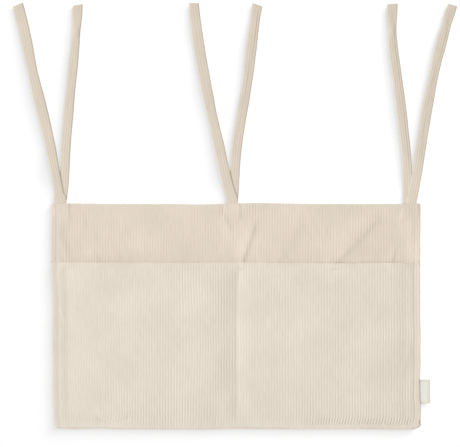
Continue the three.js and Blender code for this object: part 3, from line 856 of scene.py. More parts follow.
def corduroy(name, colour, shaded_groove, mottle):
    """Matt corduroy: grooves in the groove colour, darker than the panel cloths' crests as painted
    shade, with random mottle, streaks, short pile and patches of painted light and shade.
    """
    material, tree, shader = new_material(name)
    place = flat_cloth_place(tree)
    painted_shading = point_value(tree, "painted_shading")
    patches = ranged(tree, noise_on(tree, place, (1, 1, 1), 14, 4.0), 1 - mottle, 1 + mottle)
    streaks = ranged(tree, noise_on(tree, place, (1, 0.12, 1), 420, 2.0), 0.965, 1.03)
    pile = ranged(tree, noise_on(tree, place, (1, 0.6, 1), 1700, 2.0), 0.95, 1.045)
    crest = shaded(tree, colour, times(tree, patches, streaks, pile, painted_shading))
    # The grooves take the groove colour as painted shade; the painted light and shade attribute
    # scales crests and grooves alike.
    up_the_rib = ranged(tree, point_value(tree, "rib"), 0.0, 1.0, 0.0, 0.75)
    cloth = mixed(tree, up_the_rib, shaded(tree, shaded_groove, painted_shading), crest)
    tree.links.new(cloth, shader.inputs["Base Color"])
    shader.inputs["Roughness"].default_value = 0.95
    shader.inputs["Specular IOR Level"].default_value = 0.15
    shader.inputs["Sheen Weight"].default_value = 0.18
    shader.inputs["Sheen Roughness"].default_value = 0.55
    shader.inputs["Sheen Tint"].default_value = (1.0, 0.97, 0.93, 1.0)
    raise_surface(tree, shader, noise_on(tree, place, (1, 0.5, 1), 1300), 0.35, 0.0003)
    return material


def woven_tape(name, colour, border):
    """Off-white cotton tape: a fine plain weave with a soft shine and a darker border."""
    material, tree, shader = new_material(name)
    place = flat_cloth_place(tree)
    threads = []
    for direction in ("X", "Y"):
        pattern = {"Vector": place, "Scale": 640, "Distortion": 0.6, "Detail": 1.0}
        wave = add_node(tree, "TexWave", pattern, bands_direction=direction)
        threads.append(ranged(tree, wave.outputs["Fac"], 0.94, 1.0, 0.0, 1.0))
    weave = times(tree, *threads)
    patches = ranged(tree, noise_on(tree, place, (1, 1, 1), 90), 0.975, 1.02)
    ground = mixed(tree, point_value(tree, "rib"), border, colour)
    cloth = shaded(tree, ground, times(tree, weave, patches))
    tree.links.new(cloth, shader.inputs["Base Color"])
    shader.inputs["Roughness"].default_value = 0.8
    shader.inputs["Specular IOR Level"].default_value = 0.25
    shader.inputs["Sheen Weight"].default_value = 0.1
    raise_surface(tree, shader, weave, 0.5, 0.0002)
    return material


def spun_thread(name, colour):
    """Matt spun sewing thread with a fine twist."""
    material, tree, shader = new_material(name)
    place = add_node(tree, "TexCoord").outputs["Object"]
    pattern = {"Vector": place, "Scale": 900, "Distortion": 1.5}
    wave = add_node(tree, "TexWave", pattern, bands_direction="DIAGONAL")
    tone = ranged(tree, wave.outputs["Fac"], 0.9, 1.04, 0.0, 1.0)
    tree.links.new(shaded(tree, colour, tone), shader.inputs["Base Color"])
    shader.inputs["Roughness"].default_value = 0.7
    return material


# Each corduroy: its colour setting, and how mottled it is
CORDUROYS = {
    "pocket_corduroy": ("pocket", 0.05),
    "front_corduroy": ("front", 0.06),
    "back_corduroy": ("back", 0.05),
    "tie_corduroy": ("tie", 0.06),
}


def finish_of(name):
    """A finish by its name, made once."""
    found = bpy.data.materials.get(name)
    if found:
        return found
    colours = bpy.context.scene.organizer_colours

    def colour(setting):
        return (*getattr(colours, setting), 1.0)

    if name in CORDUROYS:
        setting, mottle = CORDUROYS[name]
        return corduroy(name, colour(setting), colour("shaded_groove"), mottle)
    if name == "side_tape":
        return woven_tape(name, colour("tape"), colour("tape_border"))
    return spun_thread(name, colour("thread"))


def dress(piece, finish):
    piece.data.materials.clear()
    piece.data.materials.append(finish_of(finish))


# The panel's three cloths


def let_out(distance, half):
    """1 within that half width of what leaves the seam, and 0 a few millimetres past it."""
    return smooth(1 - (np.abs(distance) - half - 1.2) / 2.5)


def passes_through(x, y, out_x, out_y):
    """1 where a tie or the tab leaves the seam and the allowance is cut back for it."""
    tied = np.zeros(np.shape(x))
    for name, tie in TIES.items():
        tied = np.maximum(tied, let_out(x - tie_centre(name), tie_reach(tie)))
    tab_half = (TAB_HIGH.y - TAB_LOW.y) / 2
    tabbed = let_out(y - (TAB_LOW.y + TAB_HIGH.y) / 2, tab_half)
    return np.maximum(np.where(out_y > 0, tied, 0), np.where(out_x > 0, tabbed, 0))


def turned_in(turn):
    """Turns all edges of a cloth, up or down, on a half circle with its allowance."""
    def fold(x, y, out_x, out_y):
        through = passes_through(x, y, out_x, out_y)
        allowance = (ALLOWANCE - FOLD_INSET + FOLD_LEAD) * (1 - CUT_BACK * through)
        return FOLD_LEAD, LAYER / 2, turn, math.pi * (1 - OPENED * through), allowance
    return fold


def make_back_cloth():
    rows = graded((-SEWN_Y, -160, 4), (-160, 160, 11), (160, SEWN_Y, 3.2))

    def height(x, y):
        return np.full(np.shape(x), CLOTH / 2)

    cloth = ribbed_cloth(
        "back_cloth", BACK_RIB, rows, height, turned_in(1.0), panel_outline, face=-1
    )
    dress(cloth, "back_corduroy")
    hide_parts("back_panel")
    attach(cloth, "panel")
    return cloth


def make_front_cloth():
    open_from = MOUTH_Y + 1
    rows = graded(
        (-SEWN_Y, 60, 13), (60, open_from, 4), (open_from, 158, 3.4), (158, SEWN_Y, 1.7)
    )

    def shape(x, y):
        return panel_outline(x + rib_sway(x, y), y)

    cloth = ribbed_cloth(
        "front_cloth", FRONT_RIB, rows, front_height, turned_in(-1.0), shape,
        open_rows=int(np.argmin(np.abs(rows - open_from))), depth=front_grooves,
        patches=FRONT_PAINTED_SHADING,
    )
    dress(cloth, "front_corduroy")
    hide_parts("front_panel")
    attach(cloth, "panel")
    return cloth


def mouth_wave(x):
    """How far the pocket mouth waves up and down."""
    at = (-290, -200, -60, 0, 40, 120, 180, 240, 290)
    up = (0.9, 0.3, 0.0, 0.8, 0.2, -0.5, -1.1, -0.2, 0.4)
    return np.interp(x, at, up)


def make_pocket_cloth():
    mouth_row = MOUTH_Y - FOLD_INSET
    rows = graded(
        (-SEWN_Y, -158, 1.5), (-158, -140, 2.6), (-140, 62, 4.2), (62, mouth_row, 1.6)
    )

    def fold(x, y, out_x, out_y):
        through = passes_through(x, y, out_x, out_y)
        hem = out_y > 0
        inside = hem_share(x)
        radius = np.where(hem, LAYER / 2, LAYER)
        lead = np.where(hem, FOLD_LEAD, 0.0)
        angle = math.pi * np.where(hem, 0.3 + 0.7 * inside, 1 - POCKET_OPENED * through)
        kept = np.where(hem, 0.06 + 0.94 * inside, 1 - CUT_BACK * through)
        return lead, radius, -1.0, angle, (ALLOWANCE - FOLD_INSET + lead) * kept

    def shape(x, y):
        swayed = x + rib_sway(x + 40, y) + hem_slant(x, y)
        return panel_outline(swayed, y + mouth_wave(x) * smooth((y - 30) / 50))

    cloth = ribbed_cloth(
        "pocket_cloth", POCKET_RIB, rows, pocket_height, fold, shape, depth=groove_depth,
        patches=POCKET_PAINTED_SHADING,
    )
    dress(cloth, "pocket_corduroy")
    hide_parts("pocket_panel")
    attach(cloth, "panel")
    return cloth


# The ties


def leg_route(leg):
    """Evenly spaced places along a leg from its hinge: distance, x, y and lean."""
    count = math.ceil(leg["length"] / ROUTE_STEP)
    step = leg["length"] / count
    along = np.linspace(0, leg["length"], count + 1)
    distances, degrees = zip(*leg["lean"])
    reach = ROUTE_SMOOTHED
    padded = np.radians(np.interp(np.arange(-reach, count + reach + 1) * step, distances, degrees))
    lean = np.convolve(padded, np.ones(2 * reach + 1) / (2 * reach + 1), "valid")
    between = (lean[1:] + lean[:-1]) / 2
    x = leg["aside"] + np.concatenate([[0], np.cumsum(np.sin(between) * step)])
    y = np.concatenate([[0], np.cumsum(np.cos(between) * step)])
    return along, x, y, lean


def curl_for(width, flat_width):
    """Half the angle a ribbon is rolled over so that it looks that narrow from above."""
    angles = np.linspace(0.001, 1.7, 60)
    looks = np.sin(angles) / angles
    return np.interp(np.minimum(width / flat_width, 0.9999), looks[::-1], angles[::-1])


def ribbon_outline(width, thickness, curl, drawn_at, drawn_in):
    """Points round a ribbon's cross-section: place across, height, rib height. The groove
    at that share of the way across is drawn in deeper than the others."""
    count = 21
    edge = width / 2 - thickness / 2
    across = np.linspace(-edge, edge, count)
    crest = rib_crest(across + width / 2, width / TIE_RIBS, 0.0)
    crest = np.where(np.abs(across) > edge - 0.6, 0.75, crest)
    top = [(a, thickness / 2 - TIE_RELIEF * (1 - c), c) for a, c in zip(across, crest)]
    deeper = drawn_in * valley(across - drawn_at * edge, 1.7) * (1 - crest)
    turn = [math.radians(a) for a in (60, 20, -20, -60)]
    right = [(edge + thickness / 2 * math.cos(a), thickness / 2 * math.sin(a), 0.8) for a in turn]
    bottom = [(a, -h, c) for a, h, c in reversed(top)]
    left = [(-a, -h, c) for a, h, c in right]
    loop = np.array(top + right + bottom + left)
    loop[:count, 1] -= deeper
    loop[:, 1] -= 0.3 * (loop[:, 0] / edge) ** 4
    if curl > 0.01:
        bend = edge / curl + thickness / 2
        angle = loop[:, 0] / bend
        reach = bend + loop[:, 1]
        loop = np.stack([reach * np.sin(angle), reach * np.cos(angle) - bend, loop[:, 2]], 1)
        loop[:, 1] -= loop[:, 1].min() + thickness / 2
    return loop


def swollen(distance):
    """How much a folded ribbon swells past its root."""
    return smooth((distance - 12) / 60)


def leg_height(tie, side, along, path_x):
    """A function of the distance from the hinge that gives the height of a leg's middle. A
    front leg lies on the rear one until the two are clear of each other."""
    waves = {}
    for which in ("front", "rear"):
        low, wave, seed = tie[which]["lift"]
        lifted = low + wave * 0.5 * (1 + unevenness(along, 0 * along, seed, size=120, waves=4))
        to_tip = smooth((tie[side]["length"] - along) / 60)
        waves[which] = lifted * smooth((along - 4) / 40) * (0.45 + 0.55 * to_tip)

    def lying(which, distance):
        root_z = TIE_ROOT_Z[which]
        low = root_z + (TIE_FLOOR_Z - root_z) * smooth(distance / 22)
        return low + np.interp(distance, along, waves[which])

    if side == "rear":
        return lambda distance: lying("rear", distance)
    rear_along, rear_x, _, _ = leg_route(tie["rear"])
    beside = path_x - np.interp(along, rear_along, rear_x) + tie["skew"]
    apart = along[np.argmax(np.abs(beside) > TIE_WIDTH + 2.0)]

    def over_rear(distance):
        stacked = lying("rear", distance) + TIE_THICKNESS + 0.15 + swollen(distance)
        clear = smooth((distance - apart + 6) / 40)
        return stacked + (lying("front", distance) - stacked) * clear

    return over_rear


def leg_at(leg, root_x, route, distance):
    """A leg's middle across and along the panel, its lean and its width."""
    _, path_x, path_y, lean = route
    share = distance / leg["length"]
    n = round(share * (len(path_x) - 1))
    width = np.interp(share, *zip(*leg["width"]))
    return root_x + path_x[n], HINGE_Y + path_y[n], lean[n], width


def fold_sections(tie, side, root_x):
    """A ribbon's sections round its half of the fold: middle, lean, way up, distance from
    the hinge, width and thickness."""
    sign = 1 if side == "front" else -1
    middle_z = (TIE_ROOT_Z["front"] + TIE_ROOT_Z["rear"]) / 2
    for share in (1.0, 0.66, 0.33, 0.0):
        angle = math.radians(90 * share)
        sine, cosine = math.sin(angle), math.cos(angle)
        x = root_x - sign * tie["skew"] / 2 * share
        middle = (x, HAIRPIN_Y - HAIRPIN_RADIUS * sine, middle_z + sign * HAIRPIN_RADIUS * cosine)
        way_up = (0.0, -sign * sine, cosine)
        yield middle, 0.0, way_up, -25 + 4 * (1 - share), TIE_WIDTH, TIE_THICKNESS


def seam_sections(leg, side, root_x, hinge_lean):
    """The same from the fold out through the seam to the hinge."""
    at = (HALF_HEIGHT - 10, HALF_HEIGHT - 1, HINGE_Y)
    for y in np.linspace(HAIRPIN_Y + 3, HINGE_Y - 1.5, 9):
        x = root_x + np.interp(y, at, (0, leg["edge"][0], leg["aside"]))
        width = np.interp(y, at, (TIE_WIDTH, leg["edge"][1], leg["width"][0][1]))
        lean = hinge_lean * smooth((y - HALF_HEIGHT + 6) / 12)
        sunk = 0.15 * smooth((y - HALF_HEIGHT) / 8) if side == "front" else 0.0
        middle = (x, y, TIE_ROOT_Z[side] - sunk)
        yield middle, lean, (0, 0, 1), y - HINGE_Y, width, TIE_THICKNESS


def free_sections(leg, root_x, route, height_at):
    """The same from the hinge to the tip, whose last stretch is turned and stitched."""
    length = leg["length"]
    hem_from = length - TIE_HEM
    stops = [*np.arange(0, hem_from - 1.6, TIE_SECTION_STEP)]
    stops += [hem_from + past for past in (-1.4, -0.5, 0.2, 2.0)]
    stops += [length - short for short in (2.2, 0.9, 0.3, 0.0)]
    for distance in stops:
        x, y, lean, width = leg_at(leg, root_x, route, distance)
        hemmed = 0.25 * smooth((distance - hem_from + 1.0) / 1.2) + 0.5 * swollen(distance)
        tucked = 0.62 * smooth((distance - length + 1.2) / 1.2)
        stitched = 0.3 * valley(distance - hem_from - 0.2, 0.9)
        middle = (x, y, height_at(distance) + hemmed)
        thickness = TIE_THICKNESS + 2 * hemmed - 2 * tucked - stitched
        yield middle, lean, (0, 0, 1), distance, width, thickness


def ribbon(leg, sections, phase):
    """A ribbon through these sections, and the shade painted along its deeper groove, point by
    point.
    """
    drawn_from, *drawn_values = zip(*leg.get("shaded_groove", ((0, 0.0, 0.0),)))
    to_tip = leg["length"]
    build, rings, tone = ClothBuild(), [], []
    for middle, turn, way_up, distance, width, thickness in sections:
        flat_width = max(width, TIE_FLAT_WIDTH)
        curl = curl_for(width, flat_width) if width < TIE_FLAT_WIDTH - 0.1 else 0.0
        drawn_at, drawn_in = (np.interp(distance, drawn_from, v) for v in drawn_values)
        outline = ribbon_outline(flat_width, thickness, curl, drawn_at, drawn_in)
        across, up, rib = outline.T
        uneven = 0.25 * math.sin(distance / 17 + phase) + 0.15 * math.sin(distance / 6.1)
        askew = math.radians(leg["tip"]) * smooth((distance - to_tip + 11) / 11)
        sideways = (math.cos(turn - askew), -math.sin(turn - askew), 0.0)
        narrowed = 1 - 0.06 * smooth(distance - to_tip + 1.0)
        body = middle + np.outer(across * narrowed + uneven * 0.3, sideways)
        body = body + np.outer(up, way_up)
        walked = np.cumsum(np.r_[0, np.hypot(np.diff(across), np.diff(up))])
        rings.append(build.add(*body.T, rib, walked, distance))
        # The deeper groove is painted darker along its line: painted shade.
        beside = across - drawn_at * (flat_width - thickness) / 2
        tone.append(1 - 0.3 * drawn_in * valley(beside, 1.1))
    for a, b in zip(rings[:-1], rings[1:]):
        build.quads(a, b, np.roll(b, -1), np.roll(a, -1))
    build.loop(rings[0].tolist())
    build.loop(rings[-1][::-1].tolist())
    return build, np.concatenate(tone)


def make_tie_leg(tie_name, side):
    """One leg of a tie with its half of the fold that is caught in the seam. Gives the piece,
    its body and where the stitches of its turned end lie."""
    tie = TIES[tie_name]
    leg = tie[side]
    root_x = tie_centre(tie_name) + (0.5 if side == "front" else -0.5) * tie["skew"]
    route = leg_route(leg)
    height_at = leg_height(tie, side, *route[:2])
    build, tone = ribbon(leg, [
        *fold_sections(tie, side, root_x),
        *seam_sections(leg, side, root_x, route[3][0]),
        *free_sections(leg, root_x, route, height_at),
    ], len(tie_name))
    distances = np.concatenate(build.flat)[:, 1]
    # Painted shade along the deeper groove, and the root painted paler as painted light.
    painted_shading = tone * (1 + leg["painted_root_light"] * (1 - smooth(distances / 110)))
    lifted = top_wave(root_x)

    def with_the_edge(x, y):
        return x, y + lifted * smooth(1 - np.abs(y - HALF_HEIGHT) / 60)

    body_name = f"{tie_name}_{side}"
    piece = build.made(body_name, painted_shading, with_the_edge)
    dress(piece, "tie_corduroy")
    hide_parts(f"{tie_name}_{side}_leg", f"{tie_name}_fold")
    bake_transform(piece)
    return piece, body_name, tie_end_places(root_x, route, leg, height_at)


def tie_end_places(root_x, route, leg, height_at):
    """Where the stitches that hold a tie's turned end lie."""
    distance = leg["length"] - TIE_HEM + 0.2
    x, y, lean, width = leg_at(leg, root_x, route, distance)
    across = np.array([math.cos(lean), -math.sin(lean), 0.0])
    middle = np.array([x, y, height_at(distance) + TIE_THICKNESS / 2 + THREAD_PROUD])
    offsets = np.arange(-width / 2 + 1.8, width / 2 - 1.2, TIE_STITCH_STEP)
    return [(middle + across * offset, across) for offset in offsets]


# The side tab

TAB_COLUMNS = 16
TAB_ROWS = (0, 0.02, 0.045, 0.07, 0.1, 0.2, 0.35, 0.5, 0.65, 0.8, 0.9, 0.93, 0.955, 0.98, 1)


def tab_profile():
    """The folded tape seen from its end: x, z and how far it has turned over."""
    low, high = TAB_LOW, TAB_HIGH
    middle_z = (low.z + high.z) / 2
    in_seam = (high.z - low.z) / 2 - TAPE / 2
    straight = np.linspace(low.x, high.x - in_seam, TAB_COLUMNS)
    apart = in_seam + (TAPE_LOFT - in_seam) * smooth((straight - HALF_WIDTH) / 7)
    profile = [(x, middle_z + off, 0.0) for x, off in zip(straight, apart)]
    bend_x = high.x - TAPE_LOFT - TAPE / 2
    for angle in np.radians((60, 30, 0, -30, -60)):
        x, z = bend_x + TAPE_LOFT * math.cos(angle), middle_z + TAPE_LOFT * math.sin(angle)
        profile.append((x, z, math.pi / 2 - angle))
    back = [(x, middle_z - off, math.pi) for x, off in zip(straight, apart)]
    return profile + back[::-1]


def make_side_tab():
    """The bare tape, folded at its outer end, with a stitched border."""
    low_y, high_y, outer_x = TAB_LOW.y, TAB_HIGH.y, TAB_HIGH.x
    rows = low_y + (high_y - low_y) * np.array(TAB_ROWS)
    to_side = np.minimum(rows - low_y, high_y - rows)
    at_sides = valley(to_side - 2.0, 0.8)
    profile = tab_profile()
    build, sheets = ClothBuild(), ([], [])
    walked = 0.0
    last_x, last_z, _ = profile[0]
    for x, z, turn in profile:
        walked += math.hypot(x - last_x, z - last_z)
        last_x, last_z = x, z
        dent = 0.16 * np.maximum(at_sides, valley(outer_x - TAPE_BORDER - x, 0.8))
        inside = smooth((to_side - TAPE_BORDER) / 1.2)
        inside = inside * smooth((outer_x - TAPE_BORDER - 1 - x) / 1.2)
        for sheet, off in zip(sheets, (TAPE / 2 - dent, -TAPE / 2)):
            px = x + off * math.sin(turn) + 0 * rows
            out_share = smooth((px - HALF_WIDTH) / 16)
            bow = 0.5 * np.sin(math.pi * (rows - low_y) / (high_y - low_y))
            py = rows + 0.9 * out_share * (rows < (low_y + high_y) / 2)
            pz = z + off * math.cos(turn)
            sheet.append(build.add(px - bow * out_share, py, pz, inside, walked, rows))
    upper, lower = (np.array(sheet) for sheet in sheets)
    build.both_sides(upper, lower)
    build.quads(upper[:-1, 0], lower[:-1, 0], lower[1:, 0], upper[1:, 0])
    build.quads(upper[:-1, -1], upper[1:, -1], lower[1:, -1], lower[:-1, -1])
    build.quads(upper[0, :-1], upper[0, 1:], lower[0, 1:], lower[0, :-1])
    build.quads(upper[-1, :-1], lower[-1, :-1], lower[-1, 1:], upper[-1, 1:])
    tab = build.made("side_tab_tape", 1.0, lambda x, y: (x, y))
    dress(tab, "side_tape")
    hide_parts("side_tab")
    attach(tab, "panel")
    return tab


# Sewing


def model_stitch():
    """One stitch of sewing thread whose two ends dip into the cloth: its points and faces."""
    bpy.ops.object.select_all(action="DESELECT")
    bpy.ops.mesh.primitive_cylinder_add(
        vertices=6, radius=THREAD_RADIUS, depth=STITCH_LENGTH, end_fill_type="TRIFAN",
        location=(0, 0, 0), rotation=(0, math.pi / 2, 0),
    )
    stitch = bpy.context.object
    stitch.name = "stitch"
    bpy.ops.object.transform_apply(location=True, rotation=True, scale=True)
    bpy.ops.object.mode_set(mode="EDIT")
    for place in (-STITCH_STRAIGHT / 2, STITCH_STRAIGHT / 2):
        bpy.ops.mesh.select_all(action="SELECT")
        bpy.ops.mesh.bisect(plane_co=(place, 0, 0), plane_no=(1, 0, 0))
    bpy.ops.object.mode_set(mode="OBJECT")
    for vertex in stitch.data.vertices:
        vertex.select = abs(vertex.co.x) > STITCH_LENGTH / 2 - 0.1
    for polygon in stitch.data.polygons:
        polygon.select = abs(polygon.center.x) > STITCH_LENGTH / 2 - 0.05
    bpy.ops.object.mode_set(mode="EDIT")
    bpy.ops.transform.resize(value=(0.97, 0.7, 0.7), center_override=(0, 0, 0))
    bpy.ops.transform.translate(value=(0, 0, -STITCH_DIP))
    bpy.ops.object.mode_set(mode="OBJECT")
    mesh = stitch.data
    points = np.empty(len(mesh.vertices) * 3)
    mesh.vertices.foreach_get("co", points)
    faces = [list(polygon.vertices) for polygon in mesh.polygons]
    bpy.data.objects.remove(stitch)
    bpy.data.meshes.remove(mesh)
    return points.reshape(-1, 3), faces


def sew(name, places, body):
    """Copies of the stitch at (place, direction) pairs in millimetres, as one seam."""
    shape, loops = model_stitch()
    points, faces = [], []
    for number, (place, along) in enumerate(places):
        along = along / np.linalg.norm(along)
        across = np.cross((0, 0, 1), along)
        across = across / np.linalg.norm(across)
        axes = np.stack([along, across, np.cross(along, across)])
        points.append(shape @ axes + place)
        faces.extend([[v + number * len(shape) for v in loop] for loop in loops])
    mesh = bpy.data.meshes.new(name)
    mesh.from_pydata((np.concatenate(points) * MM).tolist(), [], faces)
    mesh.polygons.foreach_set("use_smooth", np.ones(len(mesh.polygons), bool))
    mesh.update()
    seam = linked(name, mesh)
    dress(seam, "sewing_thread")
    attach(seam, body)
    return seam


def seam_places(start, end, surface):
    """Stitches from start to end over a cloth whose middle lies at surface(x, y)."""
    start, end = np.array(start, float), np.array(end, float)
    count = int(np.linalg.norm(end - start) / STITCH_STEP)
    places = []
    for n in range(count):
        ends = []
        for share in (0.5, 0.9):
            x, y = start + (end - start) * (n + share) / count
            z = surface(x, y) + CLOTH / 2 - THREAD_SUNK
            ends.append(np.array([*panel_outline(x, y), z], float))
        places.append((ends[0], ends[1] - ends[0]))
    return places


def make_panel_stitching():
    left, right = -HALF_WIDTH + LEFT_STITCH, HALF_WIDTH - RIGHT_STITCH
    low, high = -HALF_HEIGHT + BOTTOM_STITCH, HALF_HEIGHT - TOP_STITCH
    places = seam_places((left, high), (right, high), front_height)
    for x in (left, right):
        places += seam_places((x, MOUTH_Y + 2), (x, high), front_height)
    for x in (left, right):
        places += seam_places((x, low), (x, MOUTH_Y - 2), pocket_height)
    places += seam_places((left, low), (right, low), pocket_height)
    sew("panel_topstitching", places, "panel")


def make_pocket_stitching():
    hem_y = MOUTH_Y - HEM_STITCH
    hem = seam_places((-HALF_WIDTH + 9, hem_y), (HALF_WIDTH - 10, hem_y), pocket_height)
    sew("pocket_hem_stitching", hem, "panel")
    rows = np.linspace(MOUTH_Y - 1.5, -HALF_HEIGHT + BOTTOM_STITCH + 1, 14)
    line = [(divider_line(y), y) for y in rows]
    places = []
    for top, bottom in zip(line[:-1], line[1:]):
        places += seam_places(top, bottom, pocket_height)
    sew("pocket_divider_stitching", places, "panel")


# The stage, in metres, degrees and watts

FLOOR_SIZE = 24
FLOOR_LEVEL = -0.0003
STAGE_MIDDLE = (0, 0.05, 0)
CAMERA_PLACE = (-0.00864, 0.1458, 1.712)
CAMERA_LENS = 85
WORLD_STRENGTH = 0.48

# Each lamp: direction and height in degrees, distance, size, power, and whether it shines
# on the floor alone or on all but the floor
LAMPS = {
    "key_lamp": ((155, 48), 11.0, 5.6, 800, False),
    "fill_lamp": ((-98, 10), 9.0, 3.0, 180, False),
    "floor_lamp_low": ((44, 15), 8.0, 3.0, 690, True),
    "floor_lamp_high": ((44, 40), 8.0, 6.0, 390, True),
}


def light_only(lamp, piece, included):
    """The lamp shines on that piece alone, or on all but it."""
    group = bpy.data.collections.new(lamp.name + "_shines_on")
    group.objects.link(piece)
    group.collection_objects[0].light_linking.link_state = "INCLUDE" if included else "EXCLUDE"
    lamp.light_linking.receiver_collection = group


def area_lamp(name, direction, distance, size, power):
    data = bpy.data.lights.new(name, "AREA")
    data.shape = "DISK"
    data.size = size
    data.energy = power
    lamp = linked(name, data)
    azimuth, elevation = (math.radians(angle) for angle in direction)
    level = math.cos(elevation)
    away = Vector((math.cos(azimuth) * level, math.sin(azimuth) * level, math.sin(elevation)))
    lamp.location = Vector(STAGE_MIDDLE) + away * distance
    lamp.rotation_mode = "QUATERNION"
    lamp.rotation_quaternion = away.to_track_quat("Z", "Y")
    return lamp


def pale_floor():
    """Matt grey, which a camera sees as a near white that still takes the shadows."""
    material = bpy.data.materials.new("pale_floor")
    material.use_nodes = True
    tree = material.node_tree
    tree.nodes.clear()
    plain = add_node(tree, "BsdfDiffuse", {"Color": (0.82, 0.82, 0.82, 1)})
    seen = add_node(tree, "BsdfDiffuse", {"Color": (0.4, 0.4, 0.4, 1)})
    white = add_node(tree, "Emission", {"Color": (1.0, 1.0, 1.0, 1), "Strength": 0.595})
    both = add_node(tree, "AddShader", {0: seen.outputs["BSDF"], 1: white.outputs["Emission"]})
    rays = add_node(tree, "LightPath").outputs
    looked_at = rays["Is Camera Ray"]
    for other in ("Is Glossy Ray", "Is Transmission Ray"):
        either = add_node(tree, "Math", {0: looked_at, 1: rays[other]}, operation="MAXIMUM")
        looked_at = either.outputs["Value"]
    choice = {"Fac": looked_at, 1: plain.outputs["BSDF"], 2: both.outputs["Shader"]}
    surface = add_node(tree, "MixShader", choice).outputs["Shader"]
    add_node(tree, "OutputMaterial", {"Surface": surface})
    return material


def make_floor():
    bpy.ops.object.select_all(action="DESELECT")
    bpy.ops.mesh.primitive_plane_add(size=FLOOR_SIZE, location=(0, 0, FLOOR_LEVEL))
    floor = bpy.context.object
    floor.name = "floor"
    floor.data.materials.append(pale_floor())
    return floor


def make_stage():
    floor = make_floor()
    for name, (*lamp_settings, on_floor) in LAMPS.items():
        light_only(area_lamp(name, *lamp_settings), floor, on_floor)
    scene = bpy.context.scene
    scene.world = bpy.data.worlds.new("studio")
    scene.world.use_nodes = True
    background = scene.world.node_tree.nodes["Background"]
    background.inputs["Color"].default_value = (1, 1, 1, 1)
    background.inputs["Strength"].default_value = WORLD_STRENGTH
    data = bpy.data.cameras.new("camera")
    data.lens = CAMERA_LENS
    data.sensor_width = 36
    scene.camera = linked("camera", data)
    scene.camera.location = CAMERA_PLACE
    scene.view_settings.view_transform = "Standard"


# The add-on


class OrganizerCloth(bpy.types.PropertyGroup):
    """Sizes of the corduroy."""

    rib_pitch: bpy.props.FloatProperty(
        name="Rib pitch", description="From one rib of the corduroy to the next",
        default=0.00437, min=0.002, max=0.008, unit="LENGTH", precision=5,
    )
    rib_relief: bpy.props.FloatProperty(
        name="Rib relief", description="Depth of the grooves between the ribs",
        default=0.00034, min=0.0, max=0.0009, unit="LENGTH", precision=5,
    )


class OrganizerColours(bpy.types.PropertyGroup):
    """Colours of the cloths, tape and thread."""

    pocket: bpy.props.FloatVectorProperty(
        name="Pocket cloth", description="Colour of the pocket cloth's crests",
        default=(0.797, 0.72, 0.62), size=3, min=0, max=1, subtype="COLOR",
    )
    front: bpy.props.FloatVectorProperty(
        name="Front cloth", description="Colour of the cloth above the pockets",
        default=(0.778, 0.681, 0.577), size=3, min=0, max=1, subtype="COLOR",
    )
    back: bpy.props.FloatVectorProperty(
        name="Back cloth", description="Colour of the back cloth",
        default=(0.79, 0.7, 0.59), size=3, min=0, max=1, subtype="COLOR",
    )
    tie: bpy.props.FloatVectorProperty(
        name="Ties", description="Colour of the tie ribbons",
        default=(0.706, 0.624, 0.518), size=3, min=0, max=1, subtype="COLOR",
    )
    # The groove colour is painted shade in the panel cloths' grooves, darker than their crests.
    shaded_groove: bpy.props.FloatVectorProperty(
        name="Grooves", description="Colour of the cloth down in its grooves",
        default=(0.745, 0.66, 0.555), size=3, min=0, max=1, subtype="COLOR",
    )
    tape: bpy.props.FloatVectorProperty(
        name="Side tape", description="Colour of the bare tape at the side",
        default=(0.915, 0.884, 0.82), size=3, min=0, max=1, subtype="COLOR",
    )
    tape_border: bpy.props.FloatVectorProperty(
        name="Tape border", description="Colour of the tape's border",
        default=(0.85, 0.808, 0.705), size=3, min=0, max=1, subtype="COLOR",
    )
    thread: bpy.props.FloatVectorProperty(
        name="Thread", description="Colour of the sewing thread",
        default=(0.74, 0.65, 0.54), size=3, min=0, max=1, subtype="COLOR",
    )


class ORGANIZER_OT_back_cloth(bpy.types.Operator):
    """Lay the back cloth with its edges turned in"""

    bl_idname = "organizer.back_cloth"
    bl_label = "Back Cloth"

    def execute(self, context):
        cloth = make_back_cloth()
        return {"FINISHED"}


class ORGANIZER_OT_front_cloth(bpy.types.Operator):
    """Lay the front cloth over the back, creased above the pockets"""

    bl_idname = "organizer.front_cloth"
    bl_label = "Front Cloth"

    def execute(self, context):
        cloth = make_front_cloth()
        return {"FINISHED"}


class ORGANIZER_OT_pocket_cloth(bpy.types.Operator):
    """Lay the pocket cloth, sewn down at three sides and along its middle"""

    bl_idname = "organizer.pocket_cloth"
    bl_label = "Pocket Cloth"

    def execute(self, context):
        cloth = make_pocket_cloth()
        return {"FINISHED"}


class ORGANIZER_OT_ties(bpy.types.Operator):
    """Make the six tie legs and sew down their turned ends"""

    bl_idname = "organizer.ties"
    bl_label = "Ties"

    def execute(self, context):
        for name in TIES:
            for side in ("front", "rear"):
                leg, body, stitches = make_tie_leg(name, side)
                sewn = sew(f"{name}_{side}_end_stitching", stitches, body)
        return {"FINISHED"}


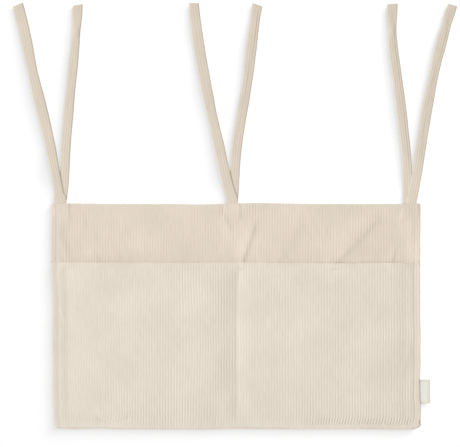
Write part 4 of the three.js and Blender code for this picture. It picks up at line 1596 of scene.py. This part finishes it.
class ORGANIZER_OT_side_tab(bpy.types.Operator):
    """Make the bare tape that stands out of the right side seam"""

    bl_idname = "organizer.side_tab"
    bl_label = "Side Tab"

    def execute(self, context):
        tab = make_side_tab()
        return {"FINISHED"}


class ORGANIZER_OT_stitching(bpy.types.Operator):
    """Sew round the panel, the pocket hem and the divider"""

    bl_idname = "organizer.stitching"
    bl_label = "Stitching"

    def execute(self, context):
        make_panel_stitching()
        make_pocket_stitching()
        return {"FINISHED"}


class ORGANIZER_OT_stage(bpy.types.Operator):
    """Set up the pale floor, the studio light and the camera"""

    bl_idname = "organizer.stage"
    bl_label = "Stage"

    def execute(self, context):
        make_stage()
        return {"FINISHED"}


STEPS = (
    ORGANIZER_OT_stage,
    ORGANIZER_OT_back_cloth,
    ORGANIZER_OT_front_cloth,
    ORGANIZER_OT_pocket_cloth,
    ORGANIZER_OT_ties,
    ORGANIZER_OT_side_tab,
    ORGANIZER_OT_stitching,
)


class ORGANIZER_PT_sidebar(bpy.types.Panel):
    """The organizer's settings and the steps that make it"""

    bl_idname = "ORGANIZER_PT_sidebar"
    bl_label = "Playpen Organizer"
    bl_space_type = "VIEW_3D"
    bl_region_type = "UI"
    bl_category = "Organizer"

    def draw(self, context):
        layout = self.layout
        cloth = context.scene.organizer_cloth
        layout.prop(cloth, "rib_pitch")
        layout.prop(cloth, "rib_relief")
        colours = context.scene.organizer_colours
        for colour in ("pocket", "front", "back", "tie", "shaded_groove", "tape", "tape_border", "thread"):
            layout.prop(colours, colour)
        for step in STEPS:
            layout.operator(step.bl_idname)


CLASSES = (OrganizerCloth, OrganizerColours, *STEPS, ORGANIZER_PT_sidebar)


def register():
    for cls in CLASSES:
        bpy.utils.register_class(cls)
    bpy.types.Scene.organizer_cloth = bpy.props.PointerProperty(type=OrganizerCloth)
    bpy.types.Scene.organizer_colours = bpy.props.PointerProperty(type=OrganizerColours)


def unregister():
    del bpy.types.Scene.organizer_colours
    del bpy.types.Scene.organizer_cloth
    for cls in reversed(CLASSES):
        bpy.utils.unregister_class(cls)


def main():
    register()
    for step in STEPS:
        group, name = step.bl_idname.split(".")
        getattr(getattr(bpy.ops, group), name)()


if __name__ == "__main__":
    main()
